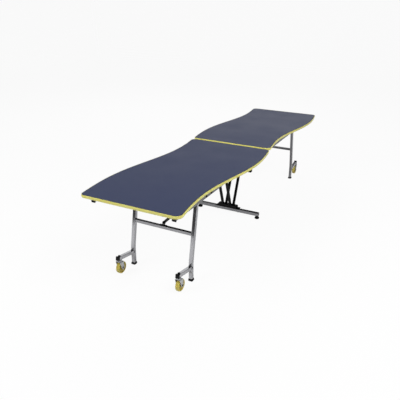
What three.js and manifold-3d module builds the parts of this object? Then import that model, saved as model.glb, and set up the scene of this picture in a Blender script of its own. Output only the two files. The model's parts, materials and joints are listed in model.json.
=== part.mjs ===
// Mobile folding table: two wavy leaves hinged on a centre pedestal, carried by two wheeled leg frames.
// Millimetres, +Z up. The origin is on the floor under the middle of the table and +X runs along its length.
// The right half (X > 0) is drawn once. The left half is the same half turned half a turn about Z.

import * as THREE from 'three';
import { mergeVertices } from 'three/addons/utils/BufferGeometryUtils.js';
import Module from 'manifold-3d';

const wasm = await Module();
wasm.setup();

// Fits
const seat = 0.3; // gap between pieces that rest on each other
const runGap = 0.3; // radial gap of a pin that turns in its hole
const overcut = 2; // how far a cut runs past the face it opens

// Steps of the round forms
const tubeSteps = 2; // on each corner of a square tube
const edgeSteps = 1; // on a rounded edge
const arcSteps = 6; // on a round end
const legSteps = 4; // on a leg's bend and round head
const holeSteps = 12; // round a hole
const pinSides = 10;
const tubeSides = 16;
const wheelSides = 18;

// Whole table
const tableLength = 3216;
const tableWidth = 778; // between the middle lines of the two wavy sides
const tableHeight = 700;
const leafGap = 60; // between the two leaves
const waveHeight = 43; // swing of a side off its middle line, one wave to a leaf
const cornerRadius = 45;

// Leaf
const laminateThickness = 1;
const boardThickness = 19.7;
const mouldingDepth = 4; // how far the edge moulding stands off the board
const mouldingLip = 1.5; // moulding thickness along its top and bottom edges
const barbLength = 9; // tongue of the moulding, pressed into the board's slot
const barbThickness = 2;
const sideSteps = 18;
const cornerSteps = 4;
const touchRounds = 8; // rounds to find where a corner meets a side
const noseSteps = 4;

// Rails under the leaf
const railWidth = 26;
const railHeight = 38;
const railWall = 2;
const railSetback = 74; // middle of a rail from the middle line of the leaf's side
const railInset = 48; // outer rail end from the leaf's outer end
const railStart = 60; // inner rail end from the middle of the table
const railCorner = 3;
const pivotDrop = 23; // hinge and leg pivots below the rail's top

// Black support under the bulge of the leaf
const supportPlace = 470;
const supportWidth = 26;
const supportReach = 66;
const supportTip = 13;
const supportRoot = 37;

// Hinge between pedestal and leaf
const hingePlace = 225;
const hingeTubeRadius = 12.5;
const hingeRodRadius = 6;
const rodHeadRadius = 10;
const rodHeadThickness = 6;

// Pedestal
const footBarSize = 32;
const footBarWall = 2.5;
const footBarSetback = 69; // end of the foot bar from the middle line of the leaf's side
const glideHeight = 29;
const glideRadius = 22;
const glideNeckRadius = 12;
const glideStemRadius = 5;
const glideStemLength = 14;
const glideSetback = 16; // middle of a glide from the foot bar's end
const glideRimHeight = 14;
const basePlateLength = 244;
const basePlateWidth = 56;
const basePlateThickness = 5;
const channelLength = 190;
const channelWidth = 44;
const channelHeight = 26;
const channelWall = 4;
const strutSize = 22;
const strutWall = 2;
const strutEdge = 2;
const strutFoot = 8; // middle of a strut's foot from the table's middle
const strutPlaces = [-53, 24];

// Hanger and control link
const hangerDrop = 221.6;
const hangerWidth = 22;
const hangerThickness = 5;
const hangerPinRadius = 5;
const linkWidth = 24;
const linkThickness = 8;
const linkSideGap = 1;
const linkPinRadius = 4.5;
const linkSlack = 3.6; // room round the outer pin, where the linkage is held open
const slackOut = 1.19; // rest place of the eye in that room
const slackUp = 2.42;

// Leg frame
const legInset = 470; // leg pivot from the leaf's outer end
const legSetback = 61; // middle of a leg from the middle of its rail
const legSize = 27;
const legWall = 2;
const legEdge = 2.5;
const legLean = THREE.MathUtils.degToRad(10);
const kinkHeight = 150;
const bendRadius = 120;
const sleeveRadius = 13.5;
const pivotBoltRadius = 5;
const boltHeadRadius = 9;
const boltHeadThickness = 6;
const crossbarHeight = 365;
const crossbarSize = 24;
const crossbarWall = 2;
const clevisRise = 29.4; // link pin above the crossbar's middle
const clevisInset = 11.2; // link pin towards the middle of the table
const clevisWidth = 20;
const clevisThickness = 4;
const pinHeadRadius = 7.5;
const pinHeadThickness = 3;
const footCapSize = 36;
const footCapHeight = 18;
const footCapFloor = 6;
const footCapCorner = 5;

// Caster arm and caster
const armReach = 291; // capped end of the arm from the leg's pivot
const armEndHeight = 147;
const armSize = 27;
const armWall = 2;
const capLip = 4;
const capPlug = 8;
const plugGap = 0.3;
const stemInset = 22; // caster stem from the arm's capped end
const stemRadius = 6;
const stemNutRadius = 10;
const stemNutHeight = 8;
const wheelRadius = 47;
const wheelWidth = 30;
const wheelDrop = 67; // wheel middle below the arm
const wheelTrail = 30;
const treadCrown = 4;
const webThickness = 14;
const rimThickness = 10;
const hubRadius = 14;
const hubWidth = 33;
const axleRadius = 5;
const axleHeadRadius = 8;
const axleHeadThickness = 5;
const forkThickness = 3;
const forkGap = 1.2;
const forkEyeRadius = 15;
const forkTopOut = 18;
const forkTopIn = 29;
const raceRadius = 19;
const raceHeight = 12;

// Worked-out places
const leafInner = leafGap / 2;
const leafOuter = tableLength / 2;
const wavePeriod = tableLength / 2;
const boardTop = tableHeight - laminateThickness - seat;
const underside = boardTop - boardThickness;
const railTop = underside - seat;
const railMiddle = railTop - railHeight / 2;
const pivotHeight = railTop - pivotDrop;
const railSpread = tableWidth / 2 - railSetback;
const railInnerFace = railSpread - railWidth / 2;
const railOuterFace = railSpread + railWidth / 2;
const railEnd = leafOuter - railInset;
const legPlace = leafOuter - legInset;
const legSpread = railSpread - legSetback;
const armEndPlace = legPlace + armReach;
const footPlace = legPlace + (pivotHeight - kinkHeight) * Math.tan(legLean);
const crossbarPlace = legPlace + (pivotHeight - crossbarHeight) * Math.tan(legLean);
const footBarReach = tableWidth / 2 - footBarSetback;
const glideSpread = footBarReach - glideSetback;
const barTop = glideHeight + footBarSize;
const baseTop = barTop + seat + basePlateThickness + channelHeight;
const earPlace = linkThickness / 2 + linkSideGap;

// Materials
const finish = (color, roughness, metalness) => new THREE.MeshStandardMaterial({ color, roughness, metalness });
const chrome = finish(0xc6c9ce, 0.18, 1);
const blackSteel = finish(0x16171a, 0.45, 0.4);
const blackPlastic = finish(0x131316, 0.55, 0);
const slateLaminate = finish(0x474f66, 0.4, 0);
const yellowEdge = finish(0xe6da33, 0.35, 0);
const boardCore = finish(0x8d7354, 0.8, 0);
const amberTread = finish(0xd8ae3c, 0.4, 0);
const zincSteel = finish(0xb4b7ba, 0.3, 1);

// Solids
function solid(geometry) {
  const bare = geometry.clone();
  bare.deleteAttribute('normal');
  bare.deleteAttribute('uv');
  const merged = mergeVertices(bare);
  const corners = [];
  for (let i = 0; i < merged.index.count; i += 3) {
    const [a, b, c] = merged.index.array.slice(i, i + 3);
    if (a !== b && b !== c && c !== a) corners.push(a, b, c);
  }
  const vertProperties = new Float32Array(merged.attributes.position.array);
  return new wasm.Manifold(new wasm.Mesh({ numProp: 3, vertProperties, triVerts: new Uint32Array(corners) }));
}

// The first pieces joined, less the second ones.
function build(joined, removed = []) {
  const whole = joined.map(solid).reduce((sum, piece) => sum.add(piece));
  const mesh = removed.map(solid).reduce((rest, piece) => rest.subtract(piece), whole).getMesh();
  const geometry = new THREE.BufferGeometry();
  geometry.setAttribute('position', new THREE.BufferAttribute(mesh.vertProperties, 3));
  geometry.setIndex(new THREE.BufferAttribute(mesh.triVerts, 1));
  geometry.computeVertexNormals();
  return geometry;
}

function roundRect(width, height, radius) {
  const shape = new THREE.Shape();
  const x = width / 2 - radius;
  const y = height / 2 - radius;
  shape.absarc(x, y, radius, 0, Math.PI / 2);
  shape.absarc(-x, y, radius, Math.PI / 2, Math.PI);
  shape.absarc(-x, -y, radius, Math.PI, 1.5 * Math.PI);
  shape.absarc(x, -y, radius, 1.5 * Math.PI, 2 * Math.PI);
  return shape;
}

function extrude(shape, depth, steps, edge = 0) {
  return new THREE.ExtrudeGeometry(shape, {
    depth: depth - 2 * edge,
    curveSegments: steps / 2, // an arc takes two steps for each of these
    bevelEnabled: edge > 0,
    bevelThickness: edge,
    bevelSize: edge,
    bevelOffset: -edge,
    bevelSegments: edgeSteps,
  }).translate(0, 0, edge);
}

// A shape drawn in X and Z, carried along Y, with its edges rounded if an edge radius is given.
function alongY(shape, low, high, steps = tubeSteps, edge = 0) {
  return extrude(shape, high - low, steps, edge).rotateX(Math.PI / 2).translate(0, high, 0);
}

// A shape drawn in Y and Z, carried along X.
const yzToX = new THREE.Matrix4().makeBasis(
  new THREE.Vector3(0, 1, 0), new THREE.Vector3(0, 0, 1), new THREE.Vector3(1, 0, 0),
);
function alongX(shape, low, high, steps = tubeSteps) {
  return extrude(shape, high - low, steps).applyMatrix4(yzToX).translate(low, 0, 0);
}

// A shape drawn in X and Y, carried along Z.
const alongZ = (shape, low, high) => extrude(shape, high - low, tubeSteps).translate(0, 0, low);

function rodY(radius, low, high, sides = pinSides) {
  return new THREE.CylinderGeometry(radius, radius, high - low, sides).translate(0, (low + high) / 2, 0);
}

// A hole for a round pin: its flats, and not only its corners, clear the pin by the running gap.
const boreY = (radius, low, high) => rodY((radius + runGap) / Math.cos(Math.PI / pinSides), low, high);
const boreZ = (radius, low, high) => rodZ((radius + runGap) / Math.cos(Math.PI / pinSides), low, high);

function rodZ(radius, low, high, sides = pinSides) {
  return new THREE.CylinderGeometry(radius, radius, high - low, sides)
    .rotateX(Math.PI / 2)
    .translate(0, 0, (low + high) / 2);
}

// A pin along Y with a head at each end, outside the low and high faces that it holds.
function headedPin(radius, headRadius, headThickness, low, high) {
  const profile = [
    [0, low - headThickness], [headRadius, low - headThickness], [headRadius, low], [radius, low],
    [radius, high], [headRadius, high], [headRadius, high + headThickness], [0, high + headThickness],
  ];
  return new THREE.LatheGeometry(profile.map(([r, y]) => new THREE.Vector2(r, y)), pinSides);
}

// Where a line from a point touches a circle, as an angle round the circle.
function tangentAngle(point, centre, radius, turn) {
  const away = point.clone().sub(centre);
  return away.angle() + turn * Math.acos(radius / away.length());
}

function place(name, geometry, material, parent) {
  const mesh = new THREE.Mesh(geometry, material);
  mesh.name = name;
  parent.add(mesh);
  return mesh;
}

function frameAt(x, z, tilt, parent) {
  const frame = new THREE.Group();
  frame.position.set(x, 0, z);
  frame.rotation.y = tilt;
  parent.add(frame);
  return frame;
}

// Leaf outline: two wavy sides, straight ends and round corners, with the outward direction at each point.
function leafOutline() {
  const wave = (2 * Math.PI) / wavePeriod;
  const sidePoint = (side, x) =>
    new THREE.Vector2(x, (side * tableWidth) / 2 + waveHeight * Math.sin(wave * x));
  const sideNormal = (side, x) =>
    new THREE.Vector2(-side * waveHeight * wave * Math.cos(wave * x), side).normalize();

  // A corner arc touches the side where the arc's middle lies one radius inside the leaf's end.
  const touch = (side, middle) => {
    let x = middle;
    for (let i = 0; i < touchRounds; i += 1) x = middle + cornerRadius * sideNormal(side, x).x;
    return x;
  };
  const steps = (count, from, to) =>
    Array.from({ length: count + 1 }, (_, i) => from + ((to - from) * i) / count);
  const along = (side, from, to) =>
    steps(sideSteps, from, to).map((x) => ({ point: sidePoint(side, x), normal: sideNormal(side, x) }));
  const corner = (side, x, from, to) => {
    const middle = sidePoint(side, x).addScaledVector(sideNormal(side, x), -cornerRadius);
    return steps(cornerSteps, from, to).map((angle) => {
      const normal = new THREE.Vector2(Math.cos(angle), Math.sin(angle));
      return { point: middle.clone().addScaledVector(normal, cornerRadius), normal };
    });
  };

  const [frontIn, backIn] = [-1, 1].map((side) => touch(side, leafInner + cornerRadius));
  const [frontOut, backOut] = [-1, 1].map((side) => touch(side, leafOuter - cornerRadius));
  const facing = (side, x) => sideNormal(side, x).angle();
  return [
    ...along(-1, frontIn, frontOut),
    ...corner(-1, frontOut, facing(-1, frontOut), 2 * Math.PI).slice(1),
    ...corner(1, backOut, 0, facing(1, backOut)).slice(0, -1),
    ...along(1, backOut, backIn),
    ...corner(1, backIn, facing(1, backIn), Math.PI).slice(1),
    ...corner(-1, frontIn, Math.PI, facing(-1, frontIn)).slice(0, -1),
  ];
}

const outline = leafOutline();
const outlineShape = (out) =>
  new THREE.Shape(outline.map(({ point, normal }) => point.clone().addScaledVector(normal, out)));

// A section, drawn as distance outwards and height, carried once round the leaf's outline.
function bandAround(section) {
  const positions = outline.flatMap(({ point, normal }) =>
    section.flatMap(([out, height]) => [point.x + normal.x * out, point.y + normal.y * out, height]));
  const index = outline.flatMap((_, i) =>
    section.flatMap((__, j) => {
      const here = i * section.length;
      const next = ((i + 1) % outline.length) * section.length;
      const after = (j + 1) % section.length;
      return [here + j, next + j, next + after, here + j, next + after, here + after];
    }));
  const band = new THREE.BufferGeometry();
  band.setAttribute('position', new THREE.Float32BufferAttribute(positions, 3));
  band.setIndex(index);
  band.computeVertexNormals();
  return band;
}

// T-shaped moulding: a rounded nose outside and a tongue in the board's slot.
function mouldingSection() {
  const halfHeight = (tableHeight - underside) / 2;
  const middle = (tableHeight + underside) / 2;
  const rise = mouldingDepth - mouldingLip;
  const noseRadius = (halfHeight ** 2 + rise ** 2) / (2 * rise);
  const sweep = Math.asin(halfHeight / noseRadius);
  const nose = Array.from({ length: noseSteps + 1 }, (_, i) => {
    const angle = sweep * ((2 * i) / noseSteps - 1);
    return [noseRadius * (Math.cos(angle) - 1), middle + noseRadius * Math.sin(angle)];
  });
  return [
    [-mouldingDepth, underside],
    ...nose,
    [-mouldingDepth, tableHeight],
    [-mouldingDepth, middle + barbThickness / 2],
    [-mouldingDepth - barbLength, middle + barbThickness / 4],
    [-mouldingDepth - barbLength, middle - barbThickness / 4],
    [-mouldingDepth, middle - barbThickness / 2],
  ];
}

function buildTop(half, group) {
  const edge = -mouldingDepth - seat;
  const slotMiddle = (tableHeight + underside) / 2;
  const slotHalf = barbThickness / 2 + seat;
  const slot = outlineShape(overcut);
  slot.holes.push(new THREE.Path(outlineShape(edge - barbLength - seat).getPoints()));
  const board = build(
    [alongZ(outlineShape(edge), underside, boardTop)],
    [alongZ(slot, slotMiddle - slotHalf, slotMiddle + slotHalf)],
  );
  place(`${half}_leaf_board`, board, boardCore, group);
  const sheet = alongZ(outlineShape(edge), tableHeight - laminateThickness, tableHeight);
  place(`${half}_leaf_laminate`, sheet, slateLaminate, group);
  place(`${half}_edge_moulding`, bandAround(mouldingSection()), yellowEdge, group);
}

// A plastic cap for a tube that runs along X and ends at `end`: a lip outside and a plug inside.
function tubeCap(end, width, height, wall, corner) {
  const plugWidth = width - 2 * (wall + plugGap);
  const plugHeight = height - 2 * (wall + plugGap);
  return build([
    alongX(roundRect(width, height, corner), end + seat, end + capLip),
    alongX(roundRect(plugWidth, plugHeight, corner / 2), end - capPlug, end + seat + overcut),
  ]);
}

function buildRails(half, sideName, group) {
  const tubeEnd = railEnd - capLip;
  const outer = roundRect(railWidth, railHeight, railCorner);
  const inner = roundRect(railWidth - 2 * railWall, railHeight - 2 * railWall, railCorner / 2);
  const holeHeight = pivotHeight - railMiddle;
  const rodHole = boreY(hingeRodRadius, -railWidth, railWidth).translate(hingePlace, 0, holeHeight);
  const boltHole = boreY(pivotBoltRadius, -railWidth, railWidth).translate(legPlace, 0, holeHeight);
  const rail = build(
    [alongX(outer, railStart, tubeEnd)],
    [alongX(inner, railStart + railWall, tubeEnd + overcut), rodHole, boltHole],
  );
  const cap = tubeCap(tubeEnd, railWidth, railHeight, railWall, railCorner);
  for (const side of [-1, 1]) {
    const name = sideName(side);
    place(`${half}_rail_${name}`, rail, chrome, group).position.set(0, side * railSpread, railMiddle);
    place(`${half}_rail_cap_${name}`, cap, blackPlastic, group).position.set(0, side * railSpread, railMiddle);
  }
}

// Black bracket that carries the bulge of the leaf outside the rail.
function buildSupport(half, group) {
  const root = railOuterFace + seat;
  const top = underside - seat;
  const tipMiddle = new THREE.Vector2(root + supportReach - supportTip, top - supportTip / 2);
  const profile = new THREE.Shape();
  profile.moveTo(root, top);
  profile.lineTo(root, top - supportRoot);
  profile.lineTo(root + supportTip, top - supportRoot);
  profile.absarc(tipMiddle.x, tipMiddle.y, supportTip / 2, -Math.PI / 2, Math.PI / 2);
  const low = supportPlace - supportWidth / 2;
  place(`${half}_bulge_support`, alongX(profile, low, low + supportWidth, arcSteps), blackSteel, group);
}

// Long hinge rod through both rails, and a bolt through each rail for the leg.
function buildLeafPins(half, sideName, group) {
  const rodReach = railOuterFace + seat;
  const rod = headedPin(hingeRodRadius, rodHeadRadius, rodHeadThickness, -rodReach, rodReach);
  place(`${half}_hinge_rod`, rod, zincSteel, group).position.set(hingePlace, 0, pivotHeight);
  const legInnerFace = legSpread - legSize / 2 - seat;
  for (const side of [-1, 1]) {
    const [low, high] = side < 0 ? [-rodReach, -legInnerFace] : [legInnerFace, rodReach];
    const bolt = headedPin(pivotBoltRadius, boltHeadRadius, boltHeadThickness, low, high);
    place(`${half}_leg_bolt_${sideName(side)}`, bolt, zincSteel, group).position.set(legPlace, 0, pivotHeight);
  }
}

// Side view of a leg: upright foot, gentle bend, leaning upper part with a round end about the pivot.
function legProfile(halfWidth, bottom, trim) {
  const bendStart = kinkHeight - bendRadius * Math.tan(legLean / 2);
  const bendMiddle = footPlace - bendRadius;
  const across = new THREE.Vector2(Math.cos(legLean), Math.sin(legLean));
  const down = new THREE.Vector2(Math.sin(legLean), -Math.cos(legLean));
  const top = new THREE.Vector2(legPlace, pivotHeight).addScaledVector(down, trim);
  const bendEnd = new THREE.Vector2(bendMiddle, bendStart).addScaledVector(across, bendRadius - halfWidth);
  const profile = new THREE.Shape();
  profile.moveTo(footPlace - halfWidth, bottom);
  profile.lineTo(footPlace + halfWidth, bottom);
  profile.absarc(bendMiddle, bendStart, bendRadius + halfWidth, 0, legLean);
  profile.absarc(top.x, top.y, halfWidth, legLean, legLean + Math.PI);
  profile.lineTo(bendEnd.x, bendEnd.y);
  profile.absarc(bendMiddle, bendStart, bendRadius - halfWidth, legLean, 0, true);
  return profile;
}

// Frame of the caster arm: X outwards along the arm from its capped end, Z square to it.
const toArm = new THREE.Matrix4()
  .makeTranslation(armEndPlace, 0, armEndHeight)
  .multiply(new THREE.Matrix4().makeRotationY(-legLean));

function buildLegs(half, sideName, group) {
  const armTubeEnd = -capLip;
  const armRoot = -(armEndPlace - footPlace) / Math.cos(legLean);
  const legFace = armRoot + legSize / 2 / Math.cos(legLean);
  const armHole = armSize - 2 * armWall;
  const reach = legSize / 2;
  const bore = reach - legWall;
  const bottom = footCapFloor + seat;
  const cap = tubeCap(armTubeEnd, armSize, armSize, armWall, legEdge).applyMatrix4(toArm);
  const pocket = legSize + 2 * plugGap;
  const footCap = build(
    [alongZ(roundRect(footCapSize, footCapSize, footCapCorner), 0, footCapHeight)],
    [alongZ(roundRect(pocket, pocket, legEdge), footCapFloor, footCapHeight + overcut)],
  );
  for (const side of [-1, 1]) {
    const name = sideName(side);
    const middle = side * legSpread;
    const sleeveEnd = side * (railInnerFace - seat);
    const sleeve = rodY(sleeveRadius, Math.min(middle, sleeveEnd), Math.max(middle, sleeveEnd), tubeSides);
    const pivotBore = boreY(pivotBoltRadius, side * railSpread - legSpread, side * railSpread + legSpread);
    const armBar = alongX(roundRect(armSize, armSize, legEdge), armRoot, armTubeEnd);
    const armCore = alongX(roundRect(armHole, armHole, legEdge / 2), legFace + armWall, armTubeEnd + overcut);
    const stemHole = boreZ(stemRadius, -armSize, armSize).translate(-stemInset, 0, 0);
    const onArm = (geometry) => geometry.applyMatrix4(toArm).translate(0, middle, 0);
    const atPivot = (geometry) => geometry.translate(legPlace, 0, pivotHeight);
    const leg = build(
      [
        alongY(legProfile(reach, bottom, 0), middle - reach, middle + reach, legSteps, legEdge),
        atPivot(sleeve),
        onArm(armBar),
      ],
      [
        alongY(legProfile(bore, bottom - overcut, 2 * sleeveRadius), middle - bore, middle + bore),
        atPivot(pivotBore),
        onArm(armCore),
        onArm(stemHole),
      ],
    );
    place(`${half}_leg_${name}`, leg, chrome, group);
    place(`${half}_foot_cap_${name}`, footCap, blackPlastic, group).position.set(footPlace, middle, 0);
    place(`${half}_arm_cap_${name}`, cap, blackPlastic, group).position.y = middle;
  }
}

// Crossbar between the legs, with a two-eared clevis and pin for the control link.
function buildCrossbar(half, group) {
  const reach = legSpread - legSize / 2 - seat;
  const hole = crossbarSize - 2 * crossbarWall;
  const pinMiddle = new THREE.Vector2(-clevisInset, clevisRise);
  const rootIn = new THREE.Vector2(-crossbarSize / 2 + legEdge, crossbarSize / 2 - crossbarWall / 2);
  const rootOut = new THREE.Vector2(-rootIn.x, rootIn.y);
  const ear = new THREE.Shape();
  ear.moveTo(rootIn.x, rootIn.y);
  ear.lineTo(rootOut.x, rootOut.y);
  ear.absarc(
    pinMiddle.x, pinMiddle.y, clevisWidth / 2,
    tangentAngle(rootOut, pinMiddle, clevisWidth / 2, 1), tangentAngle(rootIn, pinMiddle, clevisWidth / 2, -1),
  );
  const pinReach = earPlace + clevisThickness;
  const pin = headedPin(linkPinRadius, pinHeadRadius, pinHeadThickness, -pinReach, pinReach);
  const bar = build(
    [alongY(roundRect(crossbarSize, crossbarSize, legEdge), -reach, reach)],
    [alongY(roundRect(hole, hole, legEdge / 2), -reach - overcut, reach + overcut)],
  );
  const crossbar = build([
    bar,
    alongY(ear, earPlace, earPlace + clevisThickness, arcSteps),
    alongY(ear, -earPlace - clevisThickness, -earPlace, arcSteps),
    pin.translate(pinMiddle.x, 0, pinMiddle.y),
  ]);
  place(`${half}_crossbar`, crossbar, chrome, frameAt(crossbarPlace, crossbarHeight, 0, group));
}

// Control link from the hanger on the pedestal to the clevis on the crossbar.
function buildLink(half, group) {
  const inner = new THREE.Vector2(hingePlace, pivotHeight - hangerDrop);
  const outer = new THREE.Vector2(crossbarPlace - clevisInset, crossbarHeight + clevisRise)
    .add(new THREE.Vector2(slackOut, slackUp));
  const run = outer.clone().sub(inner);
  const flats = (radius) => radius / Math.cos(Math.PI / holeSteps);
  const bar = new THREE.Shape();
  bar.absarc(0, 0, linkWidth / 2, Math.PI / 2, 1.5 * Math.PI);
  bar.absarc(run.length(), 0, linkWidth / 2, -Math.PI / 2, Math.PI / 2);
  const eye = (x, radius) => new THREE.Path().absarc(x, 0, flats(radius), 0, 2 * Math.PI, true);
  bar.holes.push(eye(0, hangerPinRadius + runGap), eye(run.length(), linkPinRadius + linkSlack));
  const link = alongY(bar, -linkThickness / 2, linkThickness / 2, holeSteps);
  place(`${half}_control_link`, link, blackSteel, frameAt(inner.x, inner.y, -run.angle(), group));
}

// Hinge tube on top of a pair of struts, with the hanger for the control link welded to it.
function buildHingeTube(half, group) {
  const reach = railInnerFace - seat;
  const strap = new THREE.Shape();
  strap.moveTo(hangerWidth / 2, 0);
  strap.lineTo(-hangerWidth / 2, 0);
  strap.absarc(0, -hangerDrop, hangerWidth / 2, Math.PI, 2 * Math.PI);
  const pinReach = earPlace + hangerThickness;
  const pin = headedPin(hangerPinRadius, pinHeadRadius, pinHeadThickness, -pinReach, pinReach);
  const tube = build(
    [
      rodY(hingeTubeRadius, -reach, reach, tubeSides),
      alongY(strap, earPlace, earPlace + hangerThickness, arcSteps),
      alongY(strap, -earPlace - hangerThickness, -earPlace, arcSteps),
      pin.translate(0, 0, -hangerDrop),
    ],
    [boreY(hingeRodRadius, -reach - overcut, reach + overcut)],
  );
  place(`${half}_hinge_tube`, tube, blackSteel, group).position.set(hingePlace, 0, pivotHeight);
}

// Square strut from the base to the hinge tube, cut level at its foot and round the tube at its head.
function buildStruts(half, sideName, group) {
  const foot = new THREE.Vector2(strutFoot, baseTop + seat);
  const head = new THREE.Vector2(hingePlace, pivotHeight);
  const run = head.clone().sub(foot);
  const profile = (width, overrun) => {
    const across = new THREE.Vector2(run.y, -run.x).setLength(width / 2);
    const level = width / 2 / Math.cos(Math.atan2(run.x, run.y));
    const slip = run.clone().multiplyScalar(-overrun / run.y);
    const shape = new THREE.Shape();
    shape.moveTo(foot.x - level + slip.x, foot.y + slip.y);
    shape.lineTo(foot.x + level + slip.x, foot.y + slip.y);
    shape.lineTo(head.x + across.x, head.y + across.y);
    shape.lineTo(head.x - across.x, head.y - across.y);
    return shape;
  };
  const bore = strutSize - 2 * strutWall;
  for (const middle of strutPlaces) {
    const tubeCut = rodY(hingeTubeRadius + seat, middle - strutSize, middle + strutSize, tubeSides);
    const strut = build(
      [alongY(profile(strutSize, 0), middle - strutSize / 2, middle + strutSize / 2, tubeSteps, strutEdge)],
      [
        alongY(profile(bore, overcut), middle - bore / 2, middle + bore / 2),
        tubeCut.translate(hingePlace, 0, pivotHeight),
      ],
    );
    place(`${half}_strut_${sideName(middle)}`, strut, blackSteel, group);
  }
}

// Caster in its own frame: the stem runs up Z through the arm, whose underside is at Z = 0.
function forkGeometry() {
  const wheelMiddle = new THREE.Vector2(-wheelTrail, -wheelDrop);
  const crownTop = -raceHeight;
  const cheekInner = hubWidth / 2 + forkGap;
  const cheekOuter = cheekInner + forkThickness;
  const topOut = new THREE.Vector2(forkTopOut, crownTop);
  const topIn = new THREE.Vector2(-forkTopIn, crownTop);
  const cheek = new THREE.Shape();
  cheek.moveTo(topOut.x, topOut.y);
  cheek.lineTo(topIn.x, topIn.y);
  cheek.absarc(
    wheelMiddle.x, wheelMiddle.y, forkEyeRadius,
    tangentAngle(topIn, wheelMiddle, forkEyeRadius, 1), tangentAngle(topOut, wheelMiddle, forkEyeRadius, -1),
  );
  const crown = new THREE.BoxGeometry(forkTopOut + forkTopIn, 2 * cheekOuter, forkThickness)
    .translate((forkTopOut - forkTopIn) / 2, 0, crownTop - forkThickness / 2);
  const nutBottom = armSize + seat;
  return build(
    [
      alongY(cheek, cheekInner, cheekOuter, arcSteps),
      alongY(cheek, -cheekOuter, -cheekInner, arcSteps),
      crown,
      rodZ(raceRadius, crownTop - forkThickness / 2, -seat, tubeSides),
      rodZ(stemRadius, crownTop, nutBottom + stemNutHeight),
      rodZ(stemNutRadius, nutBottom, nutBottom + stemNutHeight, 6),
    ],
    [boreY(axleRadius, -cheekOuter - overcut, cheekOuter + overcut).translate(-wheelTrail, 0, -wheelDrop)],
  );
}

function wheelGeometry() {
  const half = wheelWidth / 2;
  const bore = (axleRadius + runGap) / Math.cos(Math.PI / wheelSides);
  const oneSide = [
    [bore, hubWidth / 2], [hubRadius, hubWidth / 2], [hubRadius, webThickness / 2],
    [wheelRadius - rimThickness, webThickness / 2], [wheelRadius - rimThickness, half],
    [wheelRadius - treadCrown, half], [wheelRadius, half - treadCrown],
  ];
  const lower = oneSide.map(([r, y]) => new THREE.Vector2(r, -y));
  const upper = oneSide.map(([r, y]) => new THREE.Vector2(r, y)).reverse();
  return new THREE.LatheGeometry([...lower, ...upper, lower[0]], wheelSides);
}

function buildCasters(half, sideName, group) {
  const fork = forkGeometry();
  const wheel = wheelGeometry();
  const axleReach = hubWidth / 2 + forkGap + forkThickness + seat;
  const axle = headedPin(axleRadius, axleHeadRadius, axleHeadThickness, -axleReach, axleReach);
  const stem = new THREE.Vector3(-stemInset, 0, -armSize / 2).applyMatrix4(toArm);
  const frame = frameAt(stem.x, stem.z, -legLean, group);
  for (const side of [-1, 1]) {
    const name = sideName(side);
    const middle = side * legSpread;
    const hub = new THREE.Vector3(-wheelTrail, middle, -wheelDrop);
    place(`${half}_caster_fork_${name}`, fork, zincSteel, frame).position.y = middle;
    place(`${half}_caster_wheel_${name}`, wheel, amberTread, frame).position.copy(hub);
    place(`${half}_caster_axle_${name}`, axle, zincSteel, frame).position.copy(hub);
  }
}

// Foot bar with closed ends, on two round glides, and the black base that the struts stand on.
function buildPedestal(group) {
  const hole = footBarSize - 2 * footBarWall;
  const stemHole = (side) => boreZ(glideStemRadius, -footBarSize, 0).translate(0, side * glideSpread, 0);
  const bar = build(
    [alongY(roundRect(footBarSize, footBarSize, legEdge), -footBarReach, footBarReach)],
    [
      alongY(roundRect(hole, hole, legEdge / 2), -footBarReach + footBarWall, footBarReach - footBarWall),
      stemHole(-1),
      stemHole(1),
    ],
  );
  place('foot_bar', bar, chrome, group).position.z = glideHeight + footBarSize / 2;

  const shoulder = glideHeight - seat;
  const glideProfile = [
    [0, 0], [glideRadius, 0], [glideRadius, glideRimHeight], [glideNeckRadius, shoulder],
    [glideStemRadius, shoulder], [glideStemRadius, shoulder + glideStemLength], [0, shoulder + glideStemLength],
  ];
  const glide = new THREE.LatheGeometry(glideProfile.map(([r, z]) => new THREE.Vector2(r, z)), tubeSides)
    .rotateX(Math.PI / 2);
  place('glide_front', glide, blackPlastic, group).position.y = -glideSpread;
  place('glide_back', glide, blackPlastic, group).position.y = glideSpread;

  const plateBottom = barTop + seat;
  const plateTop = plateBottom + basePlateThickness;
  const channelMiddle = (baseTop + plateTop) / 2;
  const tunnel = roundRect(channelWidth - 2 * channelWall, channelHeight - channelWall, channelWall / 2);
  const shell = roundRect(channelWidth, channelHeight + basePlateThickness, channelWall);
  const channel = build(
    [
      alongY(shell, -channelLength / 2, channelLength / 2)
        .translate(0, 0, channelMiddle - basePlateThickness / 2),
    ],
    [alongY(tunnel, -channelLength, channelLength).translate(0, 0, channelMiddle - channelWall / 2)],
  );
  const base = build([
    channel,
    alongZ(roundRect(basePlateWidth, basePlateLength, channelWall), plateBottom, plateTop),
  ]);
  place('strut_base', base, blackSteel, group);
}

function buildHalf(half, turn) {
  const group = new THREE.Group();
  group.rotation.z = turn;
  const sideName = (side) => (side * Math.cos(turn) < 0 ? 'front' : 'back');
  buildTop(half, group);
  buildRails(half, sideName, group);
  buildSupport(half, group);
  buildLeafPins(half, sideName, group);
  buildLegs(half, sideName, group);
  buildCrossbar(half, group);
  buildLink(half, group);
  buildHingeTube(half, group);
  buildStruts(half, sideName, group);
  buildCasters(half, sideName, group);
  return group;
}

const table = new THREE.Group();
table.name = 'folding_table';
buildPedestal(table);
table.add(buildHalf('right', 0));
table.add(buildHalf('left', Math.PI));

export default table;
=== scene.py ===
import json
import math

import bmesh
import bpy
from mathutils import Matrix, Vector


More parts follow.
